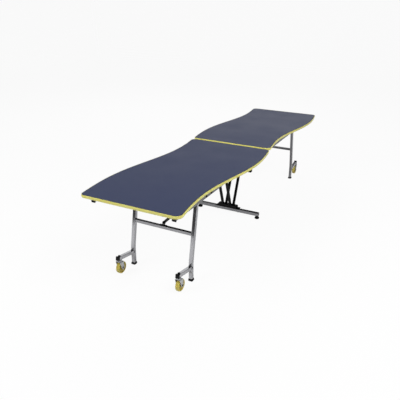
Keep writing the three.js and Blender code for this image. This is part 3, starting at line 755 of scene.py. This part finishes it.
def makeHingeTube(half):
    low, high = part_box("right_hinge_tube")
    spec = hangerSpec
    radius, ease = spec["tubeRadius"], spec["tubeEase"]
    tube = [(radius - ease, low.y), (radius, low.y + ease), (radius, high.y - ease), (radius - ease, high.y)]
    bm = bmesh.new()
    lathe(bm, tube, hingeAt, acrossY, spec["tubeSides"])
    strapPair(bm, linkAt, linkAt + upZ * (spec["barRise"] * spec["strapWidth"]), hingeAt, spec)
    addPiece(f"{half}HingeSleeve", bm, half, "pedestal", "black_paint", [blackCoat], [f"{half}_hinge_tube"])


strutSpec = {
    "size": 22 * mm, "corner": 3 * mm, "footX": 8 * mm, "places": (-53 * mm, 24 * mm),
    "headShort": 6 * mm,  # the tube ends this much before the hinge's axis
}
baseLow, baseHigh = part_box("strut_base")


def strutFootRing(section, foot, along, up):
    # the tube's foot is cut level with the base
    points = ringAt(section, foot, acrossY, up)
    return [point + along * ((foot.z - point.z) / along.z) for point in points]


def makeStruts(half):
    section = roundedSection(strutSpec["size"], strutSpec["size"], strutSpec["corner"])
    for y in strutSpec["places"]:
        name = sideName(half, y)
        foot = Vector((strutSpec["footX"], y, baseHigh.z))
        head = atY(hingeAt, y)
        along = (head - foot).normalized()
        up = along.cross(acrossY)
        headRing = ringAt(section, head - along * strutSpec["headShort"], acrossY, up)
        bm = bmesh.new()
        loft(bm, [strutFootRing(section, foot, along, up), headRing])
        nodes = [f"{half}_strut_{name}"]
        addPiece(f"{half}StrutTube_{name}", bm, half, "pedestal", "black_paint", [blackCoat], nodes)


footBarSpec = {"corner": 4 * mm, "ease": 1.4 * mm}
glideSpec = {
    "sharp": 40,  # degrees
    "profile": (  # radius and height, in mm
        (16, 0), (19.6, 0.5), (21.2, 1.8), (21.9, 4.0), (22, 7.5), (21.7, 11.0), (20.6, 14.2), (18.4, 17.4),
        (15.8, 20.2), (13.6, 22.4), (12.4, 24.4), (12.2, 26.6), (12.0, 28.2), (10, 28.7),
    ),
}
baseSpec = {
    "plate": 5 * mm, "plateCorner": 6 * mm, "plateEase": 1 * mm,
    "channelWidth": 44 * mm, "channelLength": 190 * mm, "channelSink": 0.5 * mm,
    "wall": 4 * mm, "bend": 6 * mm, "steps": 6,
}


def channelSection(bottom, top):
    # an upside-down U with round outer and inner bends
    half, steps = baseSpec["channelWidth"] / 2, baseSpec["steps"]
    wall, bend = baseSpec["wall"], baseSpec["bend"]

    def arc(corner, radius, order):
        start = 0 if corner == 1 else 90
        angles = [math.radians(start + 90 * i / steps) for i in order]
        x, y = corner * (half - bend), top - bend
        return [(x + radius * math.cos(a), y + radius * math.sin(a)) for a in angles]

    onwards, backwards = range(steps + 1), range(steps, -1, -1)
    return (
        [(half, bottom)] + arc(1, bend, onwards) + arc(-1, bend, onwards) + [(-half, bottom)]
        + [(-half + wall, bottom)] + arc(-1, bend - wall, backwards) + arc(1, bend - wall, backwards)
        + [(half - wall, bottom)]
    )


def makePedestal():
    low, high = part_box("foot_bar")
    middle = (low + high) / 2
    size = high.x - low.x
    start, end = atY(middle, low.y), atY(middle, high.y)
    bm = bmesh.new()
    squareTube(bm, start, end, alongX, size, size, footBarSpec["corner"], footBarSpec["ease"])
    addPiece("footTube", bm, "right", "pedestal", "chrome", [barChromePaintedShade], ["foot_bar"])

    for name in ("front", "back"):
        glideLow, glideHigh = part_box(f"glide_{name}")
        centre = Vector((0, (glideLow.y + glideHigh.y) / 2, 0))
        bm = bmesh.new()
        lathe(bm, inMetres(glideSpec["profile"]), centre, upZ)
        addPiece(
            f"floorGlide_{name}", bm, "right", "pedestal", "black_plastic", [blackPlastic], [f"glide_{name}"],
            glideSpec["sharp"],
        )

    plateTop = baseLow.z + baseSpec["plate"]
    corners = roundedSection(baseHigh.x - baseLow.x, baseHigh.y - baseLow.y, baseSpec["plateCorner"])
    plate = [Vector(point) for point in corners]
    section = channelSection(plateTop - baseSpec["channelSink"], baseHigh.z)
    reach = baseSpec["channelLength"] / 2
    bm = bmesh.new()
    slab(bm, plate, baseLow.z, plateTop, baseSpec["plateEase"], Matrix.Identity(4))
    loft(bm, [ringAt(section, Vector((0, y, 0)), alongX, upZ) for y in (-reach, reach)])
    addPiece("baseShoe", bm, "right", "pedestal", "black_paint", [blackCoat], ["strut_base"])


# Casters, drawn with their stems upright and put in place by casterMatrix

casterSpec = {
    "trail": 30 * mm, "drop": 67 * mm,  # axle from the stem, and under the arm
    "race": 12 * mm, "raceSides": 44, "cheek": 17.7 * mm, "sheet": 3 * mm, "ease": 0.6 * mm,
    "topOut": 18 * mm, "topIn": 29 * mm, "eyeRadius": 15 * mm,
    "eyeKept": 0.985,  # of the eye's radius, where the strap starts
    "bend": 6 * mm, "bendSteps": 6, "cheekSteps": 22,
    "fineSteps": 4,  # close steps at the cheek's round bottom
}
raceProfile = (  # radius and height, in mm
    (9, -0.3), (18.6, -0.3), (19.4, -1.2), (19.4, -4.6), (17.4, -5.6),
    (17.4, -6.6), (20.2, -7.6), (20.2, -11.0), (18.6, -12.2), (9, -12.4),
)
wheelSpec = {
    "sides": 72,
    "treadFrom": 36.8 * mm,
    "profile": (  # radius and half of the width there, in mm
        (5.2, 16.5), (12.6, 16.5), (13.8, 15.6), (14.2, 8.4), (15.8, 7.2), (34.0, 6.8), (36.0, 8.0),
        (36.8, 12.6), (37.8, 14.4), (39.4, 15.0), (42.4, 14.8), (44.8, 13.2), (46.3, 10.2), (46.9, 5.6),
    ),
}
axleSpec = {"pinRadius": 5 * mm, "pinHead": 7.4 * mm, "pinHeadHeight": 5 * mm, "play": 0.2 * mm}
stemSpec = {
    "radius": 6 * mm, "sides": 24, "start": -1 * mm,
    "chamfer": 0.8 * mm, "top": 0.8,  # of the radius
    "nutRadius": 9.6 * mm, "nutHeight": 8 * mm, "nutStart": 1.2 * mm,
    "nutChamfer": (1.6 * mm, 0.4 * mm),  # its start and end, under the stem's top
    "nutTop": 0.86, "grip": 1.08,  # of the nut's radius
    "gripSheet": 1.4 * mm, "gripSides": 36,
}
casterMatrix = Matrix((
    (legOut.x, 0, stemUp.x, stemAt.x), (0, 1, 0, 0), (legOut.z, 0, stemUp.z, stemAt.z), (0, 0, 0, 1),
))


def cheekEdges(z):
    # inner and outer edge of the cheek at this height: straight from the crown, then round the axle's eye
    eyeX, eyeZ, radius = -casterSpec["trail"], -casterSpec["drop"], casterSpec["eyeRadius"]
    top = -casterSpec["race"]
    edges = []
    for topX, way in ((-casterSpec["topIn"], -1), (casterSpec["topOut"], 1)):
        away = Vector((topX - eyeX, top - eyeZ))
        angle = math.atan2(away.y, away.x) - way * math.acos(radius / away.length)
        touchX, touchZ = eyeX + radius * math.cos(angle), eyeZ + radius * math.sin(angle)
        if z >= touchZ:
            edges.append(touchX + (topX - touchX) * (z - touchZ) / (top - touchZ))
        else:
            edges.append(eyeX + way * math.sqrt(max(0.0, radius ** 2 - (z - eyeZ) ** 2)))
    return edges


def forkRings(y):
    # one bent strap: up one cheek, over the crown and down the other cheek
    spec = casterSpec
    bend, sheet, ease = spec["bend"], spec["sheet"], spec["ease"]
    crown = -spec["race"]
    bottom = -spec["drop"] - spec["eyeKept"] * spec["eyeRadius"]
    outer = spec["cheek"] + sheet
    stations = []  # place across and up, and the strap's outward direction there
    for i in range(spec["cheekSteps"] + 1):
        angle = math.radians(90) * i / spec["cheekSteps"]
        share = 1 - math.cos(angle) if i < spec["fineSteps"] else math.sin(angle)
        stations.append((outer, bottom + (crown - bend - bottom) * share, 1.0, 0.0))
    for i in range(1, spec["bendSteps"] + 1):
        angle = math.radians(90) * i / spec["bendSteps"]
        across, up = math.cos(angle), math.sin(angle)
        stations.append((outer - bend + bend * across, crown - bend + bend * up, across, up))
    mirrored = [(-across, z, -nx, nz) for across, z, nx, nz in reversed(stations)]
    rings = []
    for across, z, nx, nz in stations + mirrored:
        low, high = cheekEdges(min(z, crown))
        loop = (
            (low + ease, sheet), (high - ease, sheet), (high, sheet - ease), (high, ease),
            (high - ease, 0), (low + ease, 0), (low, ease), (low, sheet - ease),
        )
        rings.append([Vector((x, y + across - nx * deep, z - nz * deep)) for x, deep in loop])
    return rings


def addCasterPiece(name, bm, half, *rest):
    bmesh.ops.transform(bm, matrix=casterMatrix, verts=bm.verts)
    return addPiece(name, bm, half, *rest)


def makeStemNut(half, name, stemPoint, body):
    spec = stemSpec
    stem, nut = spec["radius"], spec["nutRadius"]
    low = legSpec["size"] + leafSpec["joint"]
    high = low + spec["nutHeight"]
    grip = [(spec["grip"] * nut, low), (spec["grip"] * nut, low + spec["gripSheet"])]
    chamferStart, chamferEnd = (high - under for under in spec["nutChamfer"])
    head = [(nut, low + spec["nutStart"]), (nut, chamferStart), (spec["nutTop"] * nut, chamferEnd)]
    rod = [(stem, spec["start"]), (stem, high - spec["chamfer"]), (spec["top"] * stem, high)]
    bm = bmesh.new()
    for profile, sides in ((grip, spec["gripSides"]), (head, 6), (rod, spec["sides"])):
        lathe(bm, profile, stemPoint, upZ, sides)
    addCasterPiece(f"{half}StemNut_{name}", bm, half, body, "zinc", [darkBolt])


def makeWheel(half, name, axleAt):
    profile = inMetres(wheelSpec["profile"])
    ring = [(radius, -out) for radius, out in profile] + profile[::-1]
    bm = bmesh.new()
    lathe(bm, ring, axleAt, acrossY, wheelSpec["sides"], closed=True)
    wheel = addCasterPiece(
        f"{half}CasterTyre_{name}", bm, half, f"{half}_wheel_{name}", "tread", [amberTread, amberCorePaintedShade],
        [f"{half}_caster_wheel_{name}"],
    )
    hub = halfTurn[half] @ casterMatrix @ axleAt
    # faces inside the tread get the core's darker amber, painted shade in the recess
    for face in wheel.data.polygons:
        away = face.center - hub
        face.material_index = 1 if math.hypot(away.x, away.z) < wheelSpec["treadFrom"] else 0


def makeCasters(half):
    for side in (-1, 1):
        name = sideName(half, side)
        y = side * legSpread
        body = f"{half}_caster_{name}"
        axleAt = Vector((-casterSpec["trail"], y, -casterSpec["drop"]))
        stemPoint = Vector((0, y, 0))

        bm = bmesh.new()
        loft(bm, forkRings(y))
        lathe(bm, inMetres(raceProfile), stemPoint, upZ, casterSpec["raceSides"])
        nodes = [f"{half}_caster_fork_{name}"]
        addCasterPiece(f"{half}CasterFork_{name}", bm, half, body, "zinc", [zinc], nodes)
        makeStemNut(half, name, stemPoint, body)
        makeWheel(half, name, axleAt)

        bm = bmesh.new()
        hexPin(bm, axleAt, casterSpec["cheek"] + casterSpec["sheet"] + axleSpec["play"], axleSpec)
        nodes = [f"{half}_caster_axle_{name}"]
        addCasterPiece(f"{half}AxleBolt_{name}", bm, half, body, "zinc", [zinc], nodes)


# Repeated fasteners and welds, made by Geometry Nodes

def newTree(name, floats):
    tree = bpy.data.node_groups.new(name, "GeometryNodeTree")
    kinds = {"Geometry": "Geometry", **{label: "Float" for label in floats}, "Finish": "Material"}
    for label, kind in kinds.items():
        tree.interface.new_socket(label, in_out="INPUT", socket_type="NodeSocket" + kind)
    tree.interface.new_socket("Geometry", in_out="OUTPUT", socket_type="NodeSocketGeometry")
    return tree, tree.nodes.new("NodeGroupInput").outputs


def finishTree(tree, start, instances):
    realize = addNode(tree, "GeometryNodeRealizeInstances", {"Geometry": instances})
    sockets = {"Geometry": realize.outputs["Geometry"], "Material": start["Finish"]}
    paint = addNode(tree, "GeometryNodeSetMaterial", sockets)
    addNode(tree, "NodeGroupOutput", {"Geometry": paint.outputs["Geometry"]})
    return tree


boltSpec = {
    "sizes": ("Head Radius", "Head Height", "Washer Radius", "Washer Height"),
    "washerSides": 28, "headSides": 6,
    "straight": 0.8, "chamferTop": 0.84,  # of the head's height and radius
}


def boltTree():
    # a washer and a chamfered six-sided head on each point, facing the way the point says
    tree, start = newTree("boltHeads", boltSpec["sizes"])
    straight = boltSpec["straight"]

    def scaled(name, factor):
        return combine(tree, "MULTIPLY", start[name], factor)

    def lifted(shape, height):
        place = addNode(tree, "ShaderNodeCombineXYZ", {"Z": height})
        sockets = {"Geometry": shape.outputs["Mesh"], "Translation": place.outputs["Vector"]}
        return addNode(tree, "GeometryNodeTransform", sockets).outputs["Geometry"]

    washer = addNode(tree, "GeometryNodeMeshCylinder", {
        "Vertices": boltSpec["washerSides"], "Radius": start["Washer Radius"],
        "Depth": start["Washer Height"],
    })
    head = addNode(tree, "GeometryNodeMeshCylinder", {
        "Vertices": boltSpec["headSides"], "Radius": start["Head Radius"],
        "Depth": scaled("Head Height", straight),
    })
    chamfer = addNode(tree, "GeometryNodeMeshCone", {
        "Vertices": boltSpec["headSides"], "Radius Bottom": start["Head Radius"],
        "Radius Top": scaled("Head Radius", boltSpec["chamferTop"]),
        "Depth": scaled("Head Height", 1 - straight),
    })
    join = tree.nodes.new("GeometryNodeJoinGeometry")
    for shape, height in (
        (washer, scaled("Washer Height", 0.5)),
        (head, scaled("Head Height", straight / 2)),
        (chamfer, scaled("Head Height", straight)),
    ):
        feed(tree, join, {"Geometry": lifted(shape, height)})
    facing = addNode(tree, "GeometryNodeInputNamedAttribute", {"Name": "facing"}, data_type="FLOAT_VECTOR")
    sockets = {"Vector": facing.outputs["Attribute"]}
    align = addNode(tree, "FunctionNodeAlignRotationToVector", sockets, axis="Z")
    scatter = addNode(tree, "GeometryNodeInstanceOnPoints", {
        "Points": start["Geometry"], "Instance": join.outputs["Geometry"],
        "Rotation": align.outputs["Rotation"],
    })
    return finishTree(tree, start, scatter.outputs["Instances"])


def beadTree():
    # a weld: overlapping small beads along each run
    tree, start = newTree("weldBeads", ("Bead Radius", "Bead Step"))
    run = addNode(tree, "GeometryNodeMeshToCurve", {"Mesh": start["Geometry"]})
    sockets = {"Curve": run.outputs["Curve"], "Length": start["Bead Step"]}
    steps = addNode(tree, "GeometryNodeResampleCurve", sockets, mode="LENGTH")
    bead = addNode(tree, "GeometryNodeMeshIcoSphere", {"Subdivisions": 2, "Radius": start["Bead Radius"]})
    smooth = addNode(tree, "GeometryNodeSetShadeSmooth", {"Geometry": bead.outputs["Mesh"]})
    sockets = {"Points": steps.outputs["Curve"], "Instance": smooth.outputs["Geometry"]}
    scatter = addNode(tree, "GeometryNodeInstanceOnPoints", sockets)
    return finishTree(tree, start, scatter.outputs["Instances"])


def runTree(tree, values, mesh, body, nodes=()):
    piece = bpy.data.objects.new(mesh.name, mesh)
    bpy.context.scene.collection.objects.link(piece)
    modifier = piece.modifiers.new("make", "NODES")
    modifier.node_group = tree
    for socket in tree.interface.items_tree:
        if socket.in_out == "INPUT" and socket.name in values:
            modifier[socket.identifier] = values[socket.name]
    bakeModifier(piece, modifier)
    dressPiece(piece, body, nodes)


def pointMesh(name, half, seats):
    mesh = bpy.data.meshes.new(name)
    turn = halfTurn[half]
    mesh.from_pydata([turn @ place for place, _ in seats], [], [])
    facing = mesh.attributes.new("facing", "FLOAT_VECTOR", "POINT")
    for item, (_, way) in zip(facing.data, seats):
        item.vector = turn.to_3x3() @ way
    return mesh


def runMesh(name, half, loops):
    points, edges = [], []
    for loop in loops:
        first = len(points)
        points += [halfTurn[half] @ point for point in loop]
        edges += [(first + i, first + (i + 1) % len(loop)) for i in range(len(loop))]
    mesh = bpy.data.meshes.new(name)
    mesh.from_pydata(points, edges, [])
    return mesh


def boltValues(*sizes):
    return {**dict(zip(boltSpec["sizes"], sizes)), "Finish": darkBolt}


railBoltSpec = {
    "values": boltValues(8 * mm, 5.5 * mm, 9.6 * mm, 1.4 * mm),
    "second": 78 * mm,  # second bolt from the leg's pivot bolt
}
railScrewSpec = {"values": boltValues(5 * mm, 3 * mm, 6.4 * mm, 1 * mm), "count": 6, "margin": 60 * mm}
baseBoltSpec = {"values": boltValues(8.4 * mm, 5.5 * mm, 10 * mm, 1.6 * mm), "spread": 108 * mm}


def makeFasteners(heads):
    railLow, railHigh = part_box("right_rail_back")
    railMiddle = (railLow + railHigh) / 2
    legFace = legSpread - legSpec["size"] / 2 - leafSpec["joint"]
    count, margin = railScrewSpec["count"], railScrewSpec["margin"]
    step = (railHigh.x - railLow.x - 2 * margin) / (count - 1)
    for half in halfTurn:
        body = f"{half}_leaf"
        seats = []
        for side in (-1, 1):
            out = acrossY * side
            for x in (legAt.x, legAt.x - railBoltSpec["second"]):
                seats.append((Vector((x, side * railHigh.y, legAt.z)), out))
            seats.append((atY(legAt, side * legFace), -out))
        bolts = pointMesh(f"{half}RailBolts", half, seats)
        boltNodes = [f"{half}_leg_bolt_{name}" for name in ("front", "back")]
        runTree(heads, railBoltSpec["values"], bolts, body, boltNodes)

        seats = [
            (Vector((railLow.x + margin + step * i, side * railMiddle.y, railLow.z)), -upZ)
            for side in (-1, 1) for i in range(count)
        ]
        runTree(heads, railScrewSpec["values"], pointMesh(f"{half}RailScrews", half, seats), body)

    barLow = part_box("foot_bar")[0]
    seats = []
    for side in (-1, 1):
        y = side * baseBoltSpec["spread"]
        seats.append((Vector((0, y, baseLow.z + baseSpec["plate"])), upZ))
        seats.append((Vector((0, y, barLow.z)), -upZ))
    runTree(heads, baseBoltSpec["values"], pointMesh("baseBolts", "right", seats), "pedestal")


weldSpec = {
    "values": {"Bead Radius": 2.3 * mm, "Bead Step": 2.6 * mm},
    "wider": 1 * mm,  # a run is this much wider than the tube inside it
}


def makeWelds(beads):
    def runSection(spec):
        size = spec["size"] + weldSpec["wider"]
        return roundedSection(size, size, spec["corner"])

    armSection, barSection, strutSection = (runSection(spec) for spec in (legSpec, crossbarSpec, strutSpec))
    legFace = legSpread - legSpec["size"] / 2
    faceX = footX + legSpec["size"] / 2
    for half in halfTurn:
        loops = []
        for side in (-1, 1):
            start = atY(armRoot, side * legSpread)
            ring = ringAt(armSection, start, acrossY, stemUp)
            loops.append([point + legOut * ((faceX - point.x) / legOut.x) for point in ring])
            loops.append(ringAt(barSection, atY(crossbarAt, side * legFace), alongX, upZ))
        values = {**weldSpec["values"], "Finish": chrome}
        runTree(beads, values, runMesh(f"{half}LegWelds", half, loops), f"{half}_legs")

        loops = []
        for y in strutSpec["places"]:
            foot = Vector((strutSpec["footX"], y, baseHigh.z))
            along = (atY(hingeAt, y) - foot).normalized()
            loops.append(strutFootRing(strutSection, foot, along, along.cross(acrossY)))
        values = {**weldSpec["values"], "Finish": blackCoat}
        runTree(beads, values, runMesh(f"{half}StrutWelds", half, loops), "pedestal")


for half in halfTurn:
    for make in (
        makeLeaf, makeRails, makeSupport, makeHingeRod, makeLegs,
        makeCrossbar, makeLink, makeHingeTube, makeStruts, makeCasters,
    ):
        make(half)
    print(half, "half made")
makePedestal()
makeFasteners(boltTree())
makeWelds(beadTree())
print("pedestal, fasteners and welds made")

# Stage, light and camera

stageSpec = {
    "low": Vector((-3.0, -6.5, 0)), "high": Vector((11.5, 11.0, 0)),
    "wall": 4.4, "cove": 1.2, "coveSteps": 12,
    "white": (0.9, 0.9, 0.9),
    "glow": 0.93,  # share of plain white that the camera sees
    "mirrorGlow": (0.12, 0.95),  # and that the pieces reflect of the floor and of the wall
    "glowRise": (0.1, 1.2),  # heights between which the one turns into the other
    "shade": (0.30, 0.30, 0.30),  # painted shadow: the floor darker under the table, seen only by reflected rays, for what the tubes reflect from under the far leaf
    "shadeX": ((-0.09, -0.03), (1.25, 1.05)), "shadeY": ((-0.7, -0.5), (0.8, 0.6)),
}


def stageFinish():
    finish, tree, shader = newFinish("paleSweep")
    tree.nodes.remove(shader)
    axes = axesOf(tree, "Object")
    path = tree.nodes.new("ShaderNodeLightPath").outputs
    mirrored = mirrorRays(tree, path)
    reflected = remap(tree, axes["Z"], *stageSpec["mirrorGlow"], stageSpec["glowRise"])
    # painted shadow: a darker pool on the floor under the table, which only reflected rays see
    shadowPool = mirrored
    for axis in ("X", "Y"):
        for span in stageSpec["shade" + axis]:
            shadowPool = combine(tree, "MULTIPLY", shadowPool, remap(tree, axes[axis], 0.0, 1.0, span))
    seen = combine(
        tree, "MAXIMUM",
        combine(tree, "MULTIPLY", path["Is Camera Ray"], stageSpec["glow"]),
        combine(tree, "MULTIPLY", mirrored, reflected),
    )
    colour = colourBetween(tree, shadowPool, stageSpec["white"], stageSpec["shade"])
    matte = addNode(tree, "ShaderNodeBsdfDiffuse", {"Color": colour})
    glow = tree.nodes.new("ShaderNodeEmission")
    sockets = {"Fac": seen, 1: matte.outputs["BSDF"], 2: glow.outputs["Emission"]}
    mix = addNode(tree, "ShaderNodeMixShader", sockets)
    feed(tree, tree.nodes["Material Output"], {"Surface": mix.outputs["Shader"]})
    return finish


def makeStage():
    # a floor that sweeps up into a low wall on the two far sides
    low, high, cove = stageSpec["low"], stageSpec["high"], stageSpec["cove"]
    profile = [(0.0, 0.0)]
    for i in range(1, stageSpec["coveSteps"] + 1):
        angle = math.radians(90) * i / stageSpec["coveSteps"]
        profile.append((cove * math.sin(angle), cove * (1 - math.cos(angle))))
    profile.append((cove, stageSpec["wall"]))
    bm = bmesh.new()
    grid = []
    for out, height in profile:
        x, y = high.x - cove + out, high.y - cove + out
        row = ((low.x, y, height), (x, y, height), (x, low.y, height))
        grid.append([bm.verts.new(point) for point in row])
    for near, far in zip(grid, grid[1:]):
        for i in range(2):
            bm.faces.new((near[i], near[i + 1], far[i + 1], far[i]))
    corner = bm.verts.new((low.x, low.y, 0))
    bm.faces.new((corner, grid[0][2], grid[0][1], grid[0][0]))
    mesh = bpy.data.meshes.new("sweep")
    bm.to_mesh(mesh)
    bm.free()
    mesh.materials.append(stageFinish())
    sweep = bpy.data.objects.new("sweep", mesh)
    bpy.context.scene.collection.objects.link(sweep)


lampSpec = (
    {"name": "keySoftbox", "place": (-1.8, -3.4, 4.2), "aim": (0, 0, 0.4), "size": 3.2, "power": 165},
    {"name": "fillSoftbox", "place": (-4.6, 2.6, 3.6), "aim": (-0.6, 0, 0.4), "size": 2.6, "power": 135},
    {"name": "backSoftbox", "place": (4.0, 3.2, 4.4), "aim": (0.6, 0, 0.5), "size": 3.0, "power": 90},
)
worldSpec = {
    "ambient": 0.22, "overhead": 0.55, "aside": 0.08,
    "rise": (0.50, 0.90),  # upward part of a direction, from aside to overhead
}


def makeLamps():
    for spec in lampSpec:
        lamp = bpy.data.lights.new(spec["name"], "AREA")
        lamp.size = spec["size"]
        lamp.energy = spec["power"]
        holder = bpy.data.objects.new(spec["name"], lamp)
        holder.visible_glossy = False
        holder.location = spec["place"]
        aim = Vector(spec["aim"]) - Vector(spec["place"])
        holder.rotation_euler = aim.to_track_quat("-Z", "Y").to_euler()
        bpy.context.scene.collection.objects.link(holder)


def makeWorld():
    # white for the camera; the metal mirrors a room that is light overhead and dark above the backdrop
    world = bpy.data.worlds.new("studioRoom")
    world.use_nodes = True
    tree = world.node_tree
    height = axesOf(tree, "Generated")["Z"]
    room = remap(tree, height, worldSpec["aside"], worldSpec["overhead"], worldSpec["rise"])
    path = tree.nodes.new("ShaderNodeLightPath").outputs
    sockets = {"Factor": mirrorRays(tree, path), "A": worldSpec["ambient"], "B": room}
    unseen = addNode(tree, "ShaderNodeMix", sockets)
    sockets = {"Factor": path["Is Camera Ray"], "A": unseen.outputs["Result"], "B": 1.0}
    level = addNode(tree, "ShaderNodeMix", sockets)
    feed(tree, tree.nodes["Background"], {"Color": (1, 1, 1, 1), "Strength": level.outputs["Result"]})
    bpy.context.scene.world = world


# The camera was fitted to the photograph: its place, its axes, and its focal length and middle in pixels.
cameraSpec = {
    "place": (-3.71023, -1.60785, 1.86102),
    "forward": (0.824824, 0.406322, -0.393151),
    "up": (0.346613, 0.185969, 0.919388),
    "focalPixels": 449.90, "middle": (208.12, 199.33), "picture": 400, "sensor": 36.0, "farthest": 100,
}


def makeCamera():
    data = bpy.data.cameras.new("photoCamera")
    picture = cameraSpec["picture"]
    data.sensor_width = cameraSpec["sensor"]
    data.lens = cameraSpec["focalPixels"] / picture * cameraSpec["sensor"]
    data.shift_x = (picture / 2 - cameraSpec["middle"][0]) / picture
    data.shift_y = (cameraSpec["middle"][1] - picture / 2) / picture
    data.clip_end = cameraSpec["farthest"]
    camera = bpy.data.objects.new("photoCamera", data)
    forward, up = Vector(cameraSpec["forward"]), Vector(cameraSpec["up"])
    turn = Matrix((forward.cross(up), up, -forward)).transposed()
    camera.matrix_world = Matrix.Translation(cameraSpec["place"]) @ turn.to_4x4()
    bpy.context.scene.collection.objects.link(camera)
    bpy.context.scene.camera = camera


makeStage()
makeLamps()
makeWorld()
makeCamera()
bpy.context.scene.view_settings.view_transform = "Standard"
print("stage, light and camera ready")
